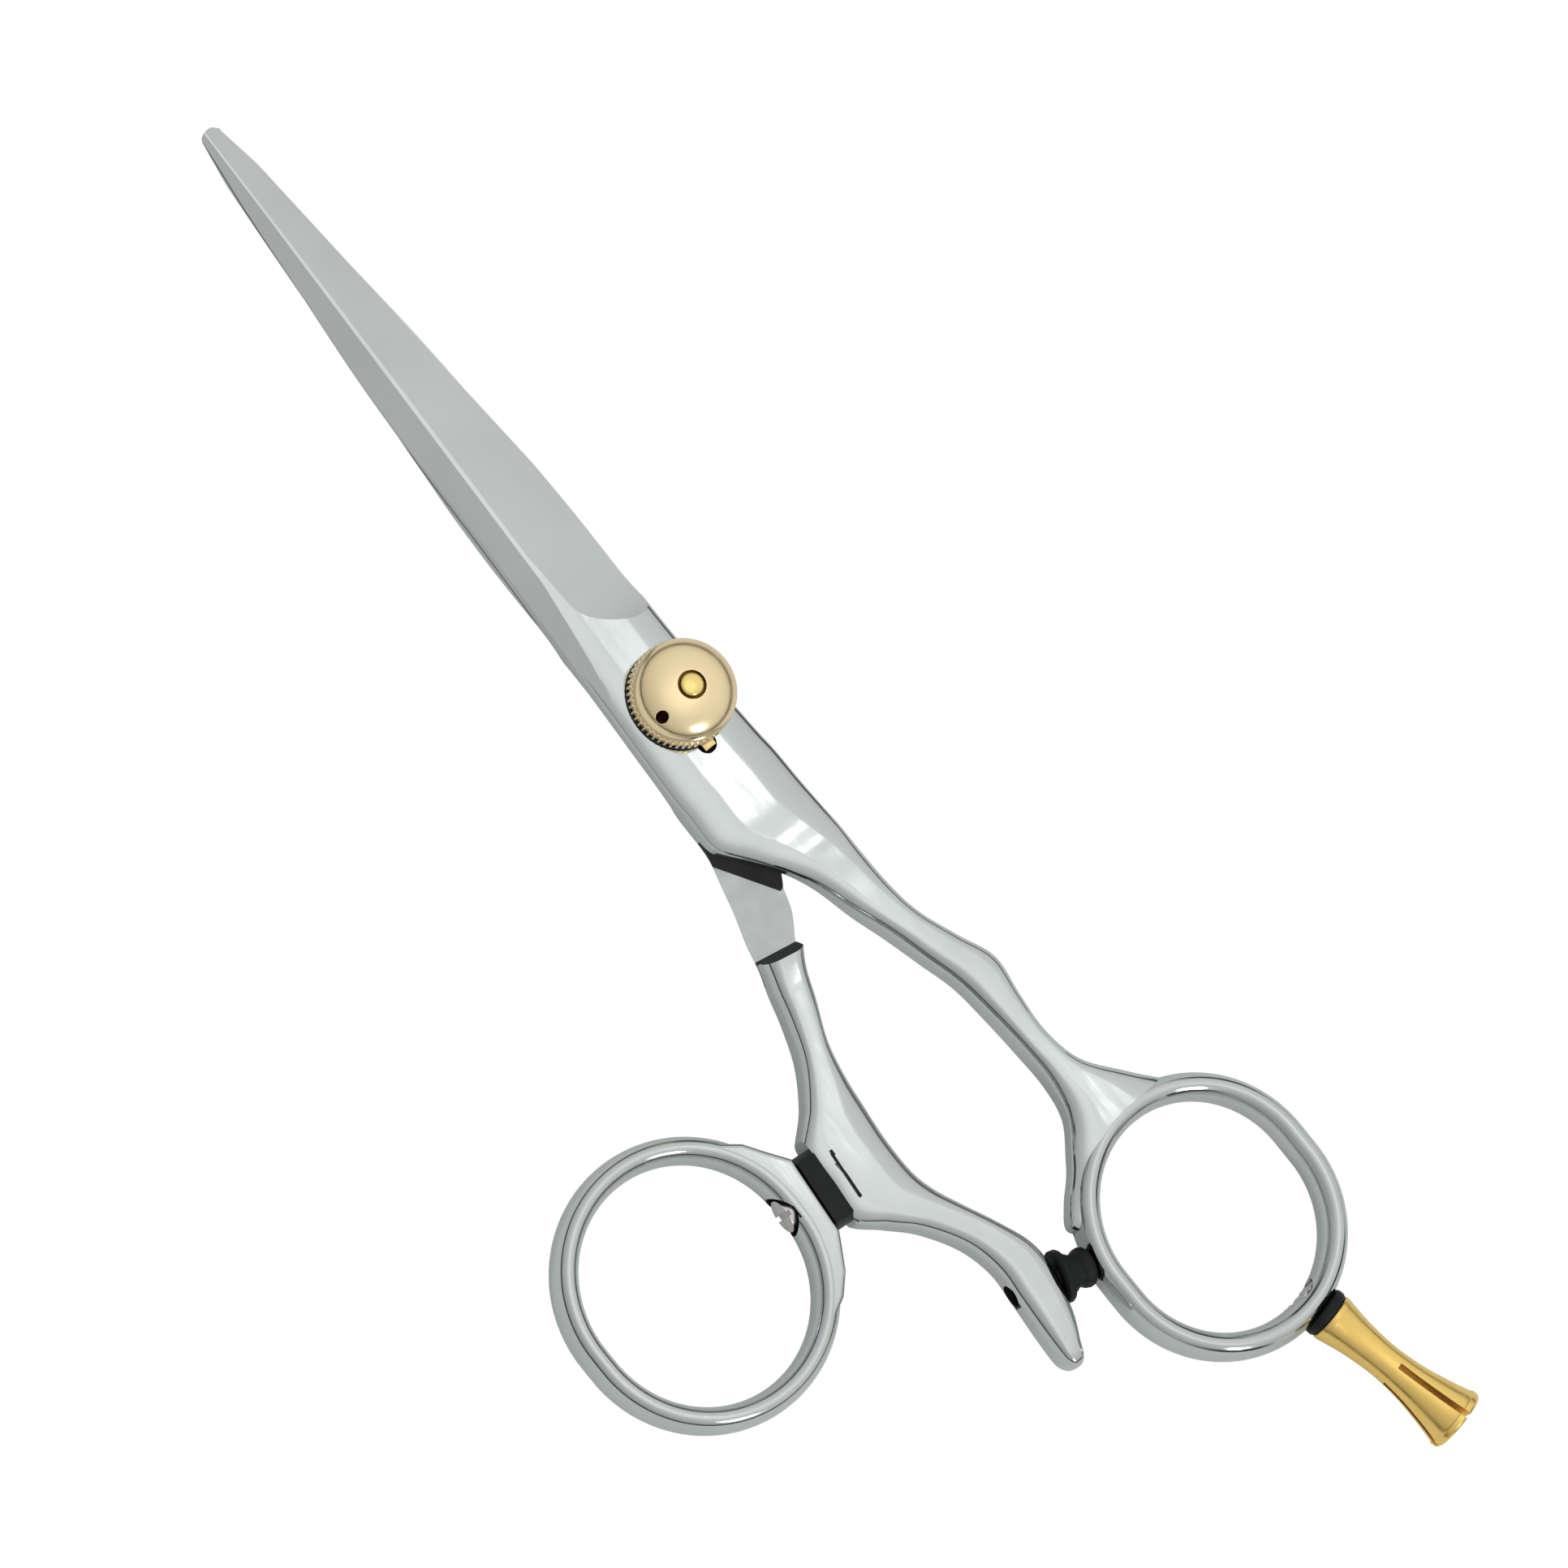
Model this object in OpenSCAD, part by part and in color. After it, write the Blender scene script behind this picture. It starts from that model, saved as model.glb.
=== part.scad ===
// Hair cutting shears with a swivelling thumb ring and a click tension dial.
// The closed shears lie flat: +X runs to the blade tips, +Y to the thumb side,
// +Z out of the tension dial. The origin is on the pivot axis, at the flat
// outer face of the pivot screw, which is the lowest face of the shears.

/* [Blades] */
// Length from the pivot axis to the blade tips
blade_len = 69.4; // [56:0.1:84]
// Width of a blade at its shoulder, behind the pivot
blade_w = 11.8; // [10.6:0.1:14]
// Width of the rounded blade tip
tip_w = 2.2; // [1.4:0.1:3]
// Thickness of a blade at the pivot
blade_t = 2.3; // [1.9:0.05:2.8]
// Thickness left at the cutting edge
edge_t = 0.15; // [0.05:0.05:0.4]
// Slope of the ground face, from the cutting edge up to the ridge
grind_deg = 16; // [13:0.5:20]
// Slope of the bevel along the spine
bevel_deg = 29; // [20:1:40]
// Gap between the flat inner faces of the two blades
blade_gap = 0.1; // [0.05:0.01:0.2]
// Distance of the blade centre line from the pivot axis
blade_shift = 0.7; // [0:0.1:1]

/* [Handles] */
// Distance along X from the pivot axis to the centre of the finger ring
handle_len = 69.7; // [58:0.1:84]
// Distance of the finger ring's centre below the pivot axis
finger_drop = 9.8; // [8:0.1:12]
// Thickness of the two shanks
shank_t = 4.5; // [3.8:0.1:5.4]
// Length of the oval finger hole
finger_hole_l = 22.8; // [19:0.1:27]
// Width of the oval finger hole
finger_hole_w = 20.5; // [17.5:0.1:23]
// Radial width of the finger ring
ring_w = 2.7; // [2.3:0.1:3.4]
// Thickness of both rings
ring_t = 4.6; // [4.2:0.1:6]

/* [Thumb ring] */
// Radial width of the thumb ring
thumb_ring_w = 2.6; // [2.2:0.1:3.2]
// Length of the oval thumb hole
thumb_hole_l = 23.2; // [19:0.1:27]
// Width of the oval thumb hole
thumb_hole_w = 21.7; // [17.5:0.1:24]
// Distance along X from the pivot axis to the swivel bracket
bracket_x = 44.5; // [40:0.1:47]
// Distance of the bracket's flat face from the pivot axis, along Y
bracket_y = 18.2; // [17:0.1:20]
// Turn of the bracket's face away from the Y axis
bracket_deg = 5.4; // [0:0.2:10]
// Width of the bracket's flat face
bracket_w = 7.9; // [7:0.1:9]
// Diameter of the swivel screw's plain shoulder
swivel_d = 2.2; // [1.8:0.1:2.6]
// Thickness of the swivel washer
swivel_washer_t = 2; // [1.6:0.1:2.6]

/* [Pivot] */
// Diameter of the pivot screw's plain shoulder
pivot_d = 4; // [3.4:0.1:4.8]
// Diameter of the pivot screw's head
head_d = 9; // [8:0.1:10.5]
// Thickness of the pivot screw's head
head_t = 1; // [0.8:0.1:1.4]
// Wall of the pivot bush
bush_wall = 0.5; // [0.4:0.05:0.7]
// Thickness of the washer under the head
back_washer_t = 0.25; // [0.2:0.05:0.4]

/* [Tension dial] */
// Diameter of the dial over its knurled rim
dial_d = 10.3; // [9.6:0.1:12.2]
// Height of the dial
dial_h = 4.6; // [4:0.1:5.6]
// Height of the knurled rim
knurl_h = 1.4; // [1:0.1:1.8]
// Number of teeth in the knurled rim
knurl_teeth = 52; // [36:2:72]
// Number of click positions
clicks = 12; // [8:1:16]

/* [Finger rest and bumper] */
// Length of the finger rest
rest_len = 15.9; // [12:0.1:18]
// Diameter of the finger rest's flared end
rest_end_d = 6.4; // [5:0.1:7]
// Diameter of the finger rest's waist
rest_waist_d = 3.5; // [3.2:0.1:4]
// Diameter of the finger rest's base
rest_base_d = 4.9; // [4.2:0.1:5.4]
// Direction of the finger rest, turned from straight back
rest_deg = 12.5; // [5:0.5:20]
// Diameter of the bumper's body
bumper_d = 4; // [3.4:0.1:4.6]
// Direction of the bumper from the finger ring's centre, turned from the Y axis
bumper_deg = 17; // [13:0.5:20]

/* [Hidden] */

$fn = 64;
eps = 0.01;
over = 30;        // length of a cutter that only has to pass right through
run_fit = 0.04;   // radial clearance of a part that turns
press_fit = 0.02; // radial clearance of a part that is pushed or screwed in

// Heights of the pivot stack, from the resting face up
glide = 0.02;      // gap under a face that slides
thumb_low = head_t + back_washer_t + glide;
mate_z = thumb_low + blade_t + blade_gap / 2;
boss_top = mate_z + blade_gap / 2 + blade_t;
detent_t = 0.3;
dial_washer_t = 0.2;
dial_gap = 0.05;
detent_top = boss_top + detent_t;
dial_z = detent_top + dial_washer_t + dial_gap;
dial_top = dial_z + dial_h;

// Inner half of each blade runs past the pivot to its shoulder
shoulder_x = -13.3;
grind_x = 13.5;   // where the ground face starts to run out towards the pivot
runout_r = 12;    // radius of the run-out
half_w = blade_w / 2;
skew = 0.37;      // turn of the blade centre line, so that the tips meet in line with the pivot

finger_c = [-handle_len, -finger_drop];
bracket_c = [-bracket_x, bracket_y];
swivel_dir = [sin(bracket_deg), cos(bracket_deg)];
swivel_gap = 0.06;
ring_seat = swivel_washer_t + swivel_gap;
thumb_wall = 3.4;
thumb_side = 0.8;   // the ring's centre lies this far behind the swivel axis
thumb_c = bracket_c + swivel_dir * (ring_seat + thumb_wall + thumb_hole_w / 2) - [thumb_side, 0];
bumper_dir = [sin(bumper_deg), cos(bumper_deg)];
bumper_flat = finger_hole_w / 2 + ring_w - 0.2;
tail_in = bumper_flat + 3.8;   // inner side of the tail, from the finger ring's centre
tail_w = 5;
tail_c = finger_c + bumper_dir * (tail_in + tail_w / 2);
rest_dir = [-cos(rest_deg), -sin(rest_deg)];
rest_seat = finger_hole_l / 2 + ring_w - 0.3;
rest_washer_t = 1.1;

// Smooth curve through rows of values, with a number of steps between rows
function blend(a, b, c, d, t) = 0.5 * (2 * b + (c - a) * t
    + (2 * a - 5 * b + 4 * c - d) * t * t + (3 * b - a - 3 * c + d) * t * t * t);
function curve(rows, steps) = let (n = len(rows) - 1) concat(
    [for (i = [0 : n - 1], k = [0 : steps - 1])
        blend(rows[max(i - 1, 0)], rows[i], rows[i + 1], rows[min(i + 2, n)], k / steps)],
    [rows[n]]);

// Section of a shank across X: a rounded box from row [x, low y, high y, low z, high z]
corner_steps = 3;
function section(s, r) = let (m = min(r, (s[2] - s[1]) / 2 - eps, (s[4] - s[3]) / 2 - eps)) [
    for (q = [0 : 3], k = [0 : corner_steps - 1])
        let (a = 90 * q + 90 * k / (corner_steps - 1),
            cy = (q == 0 || q == 3) ? s[2] - m : s[1] + m,
            cz = (q == 0 || q == 1) ? s[4] - m : s[3] + m)
        [s[0], cy + m * cos(a), cz + m * sin(a)]];

// Solid skin over a list of sections of equal length
module skin(rings) {
    n = len(rings[0]);
    last = len(rings) - 1;
    polyhedron(
        points = [for (r = rings, p = r) p],
        faces = concat(
            [[for (k = [n - 1 : -1 : 0]) k]],
            [[for (k = [0 : n - 1]) last * n + k]],
            [for (i = [0 : last - 1], k = [0 : n - 1]) let (a = i * n + k, b = i * n + (k + 1) % n)
                each [[a, b, a + n], [b, b + n, a + n]]]),
        convexity = 6);
}

module place_along(centre, dir, height) {
    translate([centre[0], centre[1], height])
        rotate([0, 0, atan2(dir[1], dir[0])])
            rotate([0, 90, 0])
                children();
}

// ---- Blades -----------------------------------------------------------------

// Half widths of a blade along its length, as [x, half width at the spine]
spine_rows = [[shoulder_x, half_w], [-6, half_w - 0.2], [6, half_w - 0.7], [20, half_w - 1.3],
    [blade_len * 0.45, half_w - 1.6], [blade_len * 0.6, half_w - 2.1],
    [blade_len * 0.75, half_w - 3.05], [blade_len * 0.88, half_w - 3.9],
    [blade_len - tip_w / 2, tip_w / 2]];
edge_out = 0.35;   // the cutting edge stands this far outside the other blade's spine
boss_in = 0.45;    // at the pivot the blade is this much narrower on its inner side
edge_rows = [for (i = [0 : len(spine_rows) - 1]) let (r = spine_rows[i])
    [r[0], -r[1] + (i < 3 ? boss_in : i == len(spine_rows) - 1 ? 0 : -edge_out)]];

// One blade in its own frame: flat face at z = 0, cutting edge at -y, spine at +y
module blade_form() {
    up = curve(spine_rows, 4);
    down = curve(edge_rows, 4);
    tip = [for (a = [75 : -15 : -75]) [blade_len - tip_w / 2 * (1 - cos(a)), tip_w / 2 * sin(a)]];
    difference() {
        linear_extrude(height = blade_t)
            polygon(concat(up, tip, [for (i = [len(down) - 1 : -1 : 0]) down[i]]));
        ground_face();
        spine_bevel();
    }
}

// Ground face: a plane rising from the cutting edge, with a round run-out at the pivot end
grind_out = 0.6;   // the ground plane starts this far outside the cutting edge
module ground_face() {
    edge_start = edge_rows[4];
    edge_end = edge_rows[7];
    lean = atan2(edge_end[1] - edge_start[1], edge_end[0] - edge_start[0]);
    translate([grind_x, edge_start[1] - grind_out, edge_t])
        rotate([0, 0, lean])
            rotate([grind_deg, 0, 0]) {
                translate([0, -over / 2, 0])
                    cube([blade_len + over, 2 * over, over]);
                translate([0, -over / 2, runout_r])
                    rotate([-90, 0, 0])
                        cylinder(r = runout_r, h = 2 * over, $fn = 128);
            }
}

// Bevel along the spine: a plane through the ridge, falling towards the tip
ridge_in = 3.05;      // the bevel's upper line starts this far inside the shoulder's half width
tip_t = 0.95;         // height of the ridge at the tip
bevel_run = 46;       // length over which the bevel's upper line leans
bevel_start = 23.4;   // where it starts to fall
bevel_lean = 1.84;    // how far its upper line moves inwards over that length
module spine_bevel() {
    fall = atan2(blade_t - tip_t, blade_len - bevel_start);
    lean = atan2(bevel_lean, bevel_run);
    translate([grind_x, half_w - ridge_in, blade_t])
        rotate([0, 0, -lean])
            rotate([0, fall, 0])
                rotate([-bevel_deg, 0, 0])
                    translate([-2 * over, 0, 0])
                        cube([blade_len + 3 * over, over, over]);
}

// The finger blade lies above the mating plane, the thumb blade below it, turned over
module place_blade(side) {
    translate([0, blade_shift, mate_z + side * blade_gap / 2])
        rotate([side > 0 ? 0 : 180, 0, -skew])
            children();
}

// ---- Finger side ------------------------------------------------------------

// A row's place from the shoulder to the finger ring's near side
reach = handle_len - finger_hole_l / 2 + shoulder_x;
function down_x(s) = shoulder_x - s * reach;
top = blade_t + blade_gap / 2;
low = blade_gap / 2;
half_t = shank_t / 2;
drop_rate = finger_drop / 9.8;
finger_rows = [
    [shoulder_x + 6, 1.2 - half_w, half_w, low, top - 0.3],
    [shoulder_x + 0.1, 1.1 - half_w, half_w + 0.4, low, top - 0.1],
    [down_x(0.07), 1 - half_w, half_w - 1.8, low, top - 0.1],
    [down_x(0.13), 0.9 - half_w, half_w - 3.8, low - 0.3, top],
    [down_x(0.2), -5.1, 0.4, -half_t * 0.6, half_t],
    [down_x(0.29), -5.3 * drop_rate, -0.9 * drop_rate, -half_t * 0.9, half_t],
    [down_x(0.37), -5.9 * drop_rate, -2.2 * drop_rate, -half_t, half_t],
    [down_x(0.46), -7.5 * drop_rate, -3.4 * drop_rate, -half_t, half_t],
    [down_x(0.545), -9.1 * drop_rate, -4.5 * drop_rate, -half_t, half_t],
    [down_x(0.64), -8.6 * drop_rate, -5 * drop_rate, -half_t, half_t],
    [down_x(0.73), -8.3 * drop_rate, -5.3 * drop_rate, -half_t, half_t],
    [down_x(0.82), -9.2 * drop_rate, -5.4 * drop_rate, -half_t, half_t],
    [down_x(0.9), -12 * drop_rate, -4.7 * drop_rate, -half_t, half_t],
    [down_x(0.965), -14.6 * drop_rate, -2.6 * drop_rate, -half_t, half_t],
    [down_x(1), -16.4 * drop_rate, -1.5 * drop_rate, -half_t, half_t],
    [down_x(1.04), -18 * drop_rate, 0.2 * drop_rate, -half_t, half_t],
    [down_x(1.08), -19 * drop_rate, 1.6 * drop_rate, -half_t, half_t]];

// Section of a ring: a tall bar with crowned sides and a narrow flat inner wall
crown_r = 3.5;
inner_flat = 0.12;   // depth that the flat inner wall takes off the crown
module ring_profile(hole_r, w) {
    crown_in = crown_r - (w + inner_flat) / 2;
    translate([hole_r, 0])
        intersection() {
            translate([0, -ring_t / 2])
                square([w + 1, ring_t]);
            translate([w - crown_r, 0])
                circle(r = crown_r);
            translate([w - crown_r + 2 * crown_in, 0])
                circle(r = crown_r);
        }
}

// Oval ring: two half rings and two short bars of one section, turned to lie along its longer side
module oval_ring(hole_l, hole_w, w) {
    hole_r = min(hole_l, hole_w) / 2;
    shift = abs(hole_l - hole_w) / 2;
    rotate([0, 0, hole_l < hole_w ? 90 : 0]) {
        for (end = [-1, 1])
            translate([end * shift, 0, 0])
                rotate([0, 0, -90 * end])
                    rotate_extrude(angle = 180)
                        ring_profile(hole_r, w);
        if (shift > 0)
            for (side = [0, 1])
                translate([-shift, 0, 0])
                    rotate([90, 0, 90])
                        linear_extrude(height = 2 * shift)
                            mirror([side, 0])
                                ring_profile(hole_r, w);
    }
}

detent_hole_d = 2;
detent_hole_x = -dial_d / 2 + 0.05;
detent_hole_y = 0.6;
flat_in = 0.5;    // depth of the flat that keys the pivot screw in the finger blade
seat_margin = 0.7;    // the finger rest's seat is this much wider all round than its base
bumper_seat_d = 7;    // flat that the bumper strikes

// Oval cutter out to the middle of the ring's wall
module oval_hole(hole_l, hole_w) {
    hole_r = min(hole_l, hole_w) / 2;
    shift = abs(hole_l - hole_w) / 2;
    rotate([0, 0, hole_l < hole_w ? 90 : 0]) {
        for (end = [-1, 1])
            translate([end * shift, 0, -over / 2])
                cylinder(r = hole_r, h = over);
        if (shift > 0)
            cube([2 * shift, 2 * hole_r, over], center = true);
    }
}

module keyed_round(d, h) {
    intersection() {
        cylinder(d = d, h = h);
        translate([flat_in - d / 2, -d, -eps])
            cube([2 * d, 2 * d, h + 2 * eps]);
    }
}

module finger_blade() {
    color("silver")
    difference() {
        union() {
            place_blade(1)
                blade_form();
            difference() {
                translate([0, 0, mate_z])
                    skin([for (s = curve(finger_rows, 2)) section(s, 1.1)]);
                translate([finger_c[0], finger_c[1], mate_z])
                    oval_hole(finger_hole_l + ring_w, finger_hole_w + ring_w);
            }
            translate([finger_c[0], finger_c[1], mate_z])
                oval_ring(finger_hole_l, finger_hole_w, ring_w);
        }
        translate([0, 0, mate_z - over / 2])
            keyed_round(pivot_d + 2 * press_fit, over);
        translate([detent_hole_x, detent_hole_y, boss_top - 1])
            cylinder(d = detent_hole_d, h = over, $fn = 32);
        place_along(finger_c, bumper_dir, mate_z)
            translate([0, 0, bumper_flat])
                cylinder(d = bumper_seat_d, h = 3);
        place_along(finger_c, rest_dir, mate_z) {
            translate([0, 0, rest_seat])
                cylinder(d = rest_base_d + 2 * seat_margin, h = 3);
            translate([0, 0, rest_seat - 5])
                cylinder(d = rest_stud_d + 2 * press_fit, h = 8);
            translate([0, 0, finger_hole_l / 2 - 3])
                cylinder(d = rest_head_d + 0.3, h = 3 + rest_head_sink);
        }
    }
}

spanner_d = 1.2;  // two blind holes for a pin spanner
module pivot_screw() {
    color("gainsboro")
    difference() {
        union() {
            cylinder(d = head_d, h = head_t);
            cylinder(d = pivot_d, h = mate_z);
            translate([0, 0, mate_z - eps])
                keyed_round(pivot_d, detent_top - mate_z + eps);
            translate([0, 0, detent_top - eps])
                cylinder(d = pivot_d - 1, h = dial_top - dial_cap_t - detent_top);
        }
        for (side = [-1, 1])
            translate([side * head_d * 0.3, 0, -1])
                cylinder(d = spanner_d, h = 1 + head_t * 0.6, $fn = 32);
    }
}

module detent_plate() {
    tab_w = 1.3;
    tab_l = 1.5;
    tab_down = 0.8;
    tab_x = detent_hole_x - 0.55;
    color("goldenrod")
    translate([0, 0, boss_top])
    difference() {
        union() {
            cylinder(d = detent_d, h = detent_t);
            translate([tab_x, detent_hole_y - tab_w / 2, 0])
                cube([tab_l, tab_w, detent_t]);
            translate([tab_x, detent_hole_y - tab_w / 2, -tab_down])
                cube([detent_t, tab_w, tab_down + eps]);
        }
        translate([0, 0, -eps])
            keyed_round(pivot_d + 2 * press_fit, detent_t + 1);
        for (i = [0 : clicks - 1])
            rotate([0, 0, (i + 0.5) * 360 / clicks])
                translate([click_r, 0, -eps])
                    cylinder(d = ball_d * 0.6, h = 1, $fn = 24);
    }
}

module spring_washer() {
    rise = dial_recess + dial_washer_t;
    color("dimgray")
    translate([0, 0, detent_top])
        rotate_extrude()
            polygon([[pivot_d / 2 + 0.1, rise - 0.25], [pivot_d / 2 + 0.1, rise],
                [spring_washer_d / 2, 0.25], [spring_washer_d / 2, 0]]);
}

module back_washer() {
    color("dimgray")
    translate([0, 0, head_t])
        tube(head_d - 0.6, pivot_d + 2 * run_fit, back_washer_t);
}

module tube(outer_d, inner_d, h) {
    difference() {
        cylinder(d = outer_d, h = h);
        translate([0, 0, -1])
            cylinder(d = inner_d, h = h + 2);
    }
}

// ---- Finger rest ------------------------------------------------------------

rest_stud_d = 2;
rest_head_d = 3;
rest_head_sink = 0.9;
rest_wall = rest_seat - finger_hole_l / 2;

module finger_rest_screw() {
    color("gainsboro")
    place_along(finger_c, rest_dir, mate_z)
        translate([0, 0, finger_hole_l / 2 + 0.15]) {
            difference() {
                cylinder(d = rest_head_d, h = rest_head_sink - 0.15);
                translate([-rest_head_d, -0.25, -eps])
                    cube([2 * rest_head_d, 0.5, 0.35]);
            }
            cylinder(d = rest_stud_d, h = rest_wall + rest_washer_t + 4.5);
        }
}

module finger_rest_washer() {
    color("black")
    place_along(finger_c, rest_dir, mate_z)
        translate([0, 0, rest_seat])
            tube(rest_base_d + 0.1, rest_stud_d + 2 * press_fit, rest_washer_t);
}

// Waisted peg, split by two crossing slots from its flared end
module finger_rest() {
    waist_at = rest_len * 0.42;
    slot = 0.6;
    slot_len = rest_len * 0.5;
    profile = curve([[rest_base_d / 2, 0], [rest_base_d / 2 - 0.15, rest_len * 0.08],
        [rest_waist_d / 2, waist_at], [rest_waist_d / 2 + 0.25, rest_len * 0.62],
        [rest_end_d / 2 - 0.15, rest_len * 0.93], [rest_end_d / 2, rest_len]], 4);
    color("gold")
    place_along(finger_c, rest_dir, mate_z)
        translate([0, 0, rest_seat + rest_washer_t])
            difference() {
                rotate_extrude()
                    polygon(concat([[0, 0]], profile, [[0, rest_len]]));
                for (turn = [0, 90])
                    rotate([0, 0, turn])
                        translate([-rest_end_d, -slot / 2, rest_len - slot_len])
                            cube([2 * rest_end_d, slot, slot_len + 1]);
                translate([0, 0, -eps])
                    cylinder(d = rest_stud_d + 2 * press_fit, h = 5);
            }
}

// ---- Thumb side -------------------------------------------------------------

// Rows from the shoulder through the bracket to the tail's end
bx = bracket_x;
by = bracket_y;
hw = bracket_w / 2;
tail_x = -tail_c[0];
tail_y = tail_c[1];
thumb_rows = [
    [shoulder_x + 6, 1.6 - half_w, half_w + 0.2, -top, -low - 0.2],
    [shoulder_x, 3.4 - half_w, half_w + 0.5, -top, -low],
    [shoulder_x - 3, 0.2, 7.1, -top, -low],
    [shoulder_x - 6, 2, 7.9, -top, -low],
    [shoulder_x - 9, 3.1, 8.9, -top, -low],
    [shoulder_x - 11.5, 4.7, 9.6, -half_t, half_t * 0.8],
    [shoulder_x - 14, 6.4, 10.5, -half_t, half_t],
    [shoulder_x - 17, 7.7, 11.4, -half_t, half_t],
    [-bx + 10.5, 9.4, 12.9, -half_t, half_t],
    [-bx + 7, 10.2, 15.4, -half_t, half_t],
    [-bx + hw - 0.2, 10.6, by + 0.5, -half_t, half_t],
    [-bx, 11, by + 0.6, -half_t, half_t],
    [-bx - hw + 0.1, 11, by + 0.7, -half_t, half_t],
    [-bx - hw - 2.5, 10.4, 16.3, -half_t, half_t],
    [-bx - hw - 5, 9.3, 13.8, -half_t, half_t],
    [-tail_x + 7, tail_y - 0.9, tail_y + 3.1, -half_t, half_t],
    [-tail_x + 3.4, tail_y - 2.3, tail_y + 2.2, -half_t, half_t],
    [-tail_x, tail_y - 2.3, tail_y + 2.4, -half_t, half_t],
    [-tail_x - 4, tail_y - 1.2, tail_y + 2.7, -half_t, half_t],
    [-tail_x - 7, tail_y + 0.3, tail_y + 2.7, -half_t + 0.2, half_t - 0.2],
    [-tail_x - 8.4, tail_y + 1.2, tail_y + 2.1, -half_t + 1, half_t - 1]];

scoop_floor = -1.25;
module scoop() {
    translate([0, 0, scoop_floor])
        linear_extrude(height = over)
            polygon([[shoulder_x + 0.2, 9], [shoulder_x + 0.2, 6.8], [shoulder_x - 6, 1.6],
                [shoulder_x - 6, -2], [shoulder_x - 12.4, 2.4], [shoulder_x - 10.6, 12]]);
}

screw_depth = 4.2;
module thumb_blade() {
    color("silver")
    difference() {
        union() {
            place_blade(-1)
                blade_form();
            translate([0, 0, mate_z])
                skin([for (s = curve(thumb_rows, 2)) section(s, 1.1)]);
        }
        translate([0, 0, mate_z])
            scoop();
        translate([0, 0, -1])
            cylinder(d = pivot_d + 2 * (run_fit + bush_wall + press_fit), h = over);
        place_along(bracket_c, swivel_dir, mate_z) {
            cylinder(d = 3 * bracket_w, h = over);
            translate([0, 0, -screw_depth])
                cylinder(d = swivel_d + 2 * press_fit, h = screw_depth + 1);
        }
        place_along(finger_c, bumper_dir, mate_z)
            translate([0, 0, tail_in - 1])
                cylinder(d = bumper_stem_d + 2 * press_fit, h = tail_w + 4);
        place_along(finger_c, bumper_dir, mate_z)
            translate([0, 0, tail_in - 3])
                cylinder(d = bumper_flange_d + 1.5, h = 3);
    }
}

module pivot_bush() {
    color("burlywood")
    translate([0, 0, thumb_low])
        tube(pivot_d + 2 * (run_fit + bush_wall), pivot_d + 2 * run_fit, blade_t);
}

bumper_stem_d = 2.2;
bumper_flange_d = 5.3;
module bumper() {
    gap = 0.1;
    nose = tail_in - bumper_flat - gap;
    color("black")
    place_along(finger_c, bumper_dir, mate_z)
        translate([0, 0, bumper_flat + gap])
            rotate_extrude()
                polygon([[0, 0], [bumper_d / 2 - 0.8, 0], [bumper_d / 2 - 0.2, 0.3], [bumper_d / 2, 0.8],
                    [bumper_d / 2, nose - 0.9], [bumper_flange_d / 2, nose - 0.9],
                    [bumper_flange_d / 2, nose], [bumper_stem_d / 2, nose],
                    [bumper_stem_d / 2, nose + tail_w - 0.8], [0, nose + tail_w - 0.8]]);
}

swivel_head_d = 3.4;
swivel_head_t = 0.8;
swivel_flange_t = 0.4;
swivel_bush_d = swivel_d + 2 * (run_fit + 0.5);
counterbore = swivel_head_t + swivel_flange_t + 0.2;
module swivel_screw() {
    color("rosybrown")
    place_along(bracket_c, swivel_dir, mate_z)
        difference() {
            union() {
                translate([0, 0, 0.1 - screw_depth])
                    cylinder(d = swivel_d, h = screw_depth + ring_seat + thumb_wall - counterbore
                        + swivel_flange_t);
                translate([0, 0, ring_seat + thumb_wall - counterbore + swivel_flange_t + swivel_gap])
                    cylinder(d = swivel_head_d, h = swivel_head_t);
            }
            translate([-swivel_head_d, -0.25, ring_seat + thumb_wall - 0.5])
                cube([2 * swivel_head_d, 0.5, 2]);
        }
}

module swivel_washer() {
    color("black")
    place_along(bracket_c, swivel_dir, mate_z)
        intersection() {
            tube(bracket_w, swivel_d + 2 * press_fit, swivel_washer_t);
            cube([shank_t, 2 * bracket_w, 3 * swivel_washer_t], center = true);
        }
}

module swivel_bush() {
    color("black")
    place_along(bracket_c, swivel_dir, mate_z)
        translate([0, 0, ring_seat]) {
            tube(swivel_bush_d, swivel_d + 2 * run_fit, thumb_wall - counterbore + swivel_flange_t);
            translate([0, 0, thumb_wall - counterbore])
                tube(swivel_head_d + 0.9, swivel_d + 2 * run_fit, swivel_flange_t);
        }
}

// Oval ring with a flat seat towards the bracket
module thumb_ring() {
    r = thumb_hole_w / 2;
    seat = r + thumb_wall;
    mid_r = r + thumb_ring_w / 2;
    color("silver")
    difference() {
        union() {
            translate([thumb_c[0], thumb_c[1], mate_z])
                oval_ring(thumb_hole_l, thumb_hole_w, thumb_ring_w);
            translate([thumb_c[0], thumb_c[1], mate_z - shank_t / 2])
                rotate([0, 0, -bracket_deg])
                    linear_extrude(height = shank_t)
                        polygon(concat([[thumb_side - bracket_w / 2, -seat], [thumb_side + bracket_w / 2, -seat]],
                            [for (a = [-40 : -10 : -140]) [mid_r * cos(a), mid_r * sin(a)]]));
        }
        place_along(bracket_c, swivel_dir, mate_z) {
            translate([0, 0, -over + ring_seat])
                cylinder(d = over, h = over);
            cylinder(d = swivel_bush_d + 2 * press_fit, h = 8);
            translate([0, 0, ring_seat + thumb_wall - counterbore])
                cylinder(d = swivel_head_d + 0.9 + 2 * press_fit, h = 4);
        }
    }
}

// ---- Tension dial -----------------------------------------------------------

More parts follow.
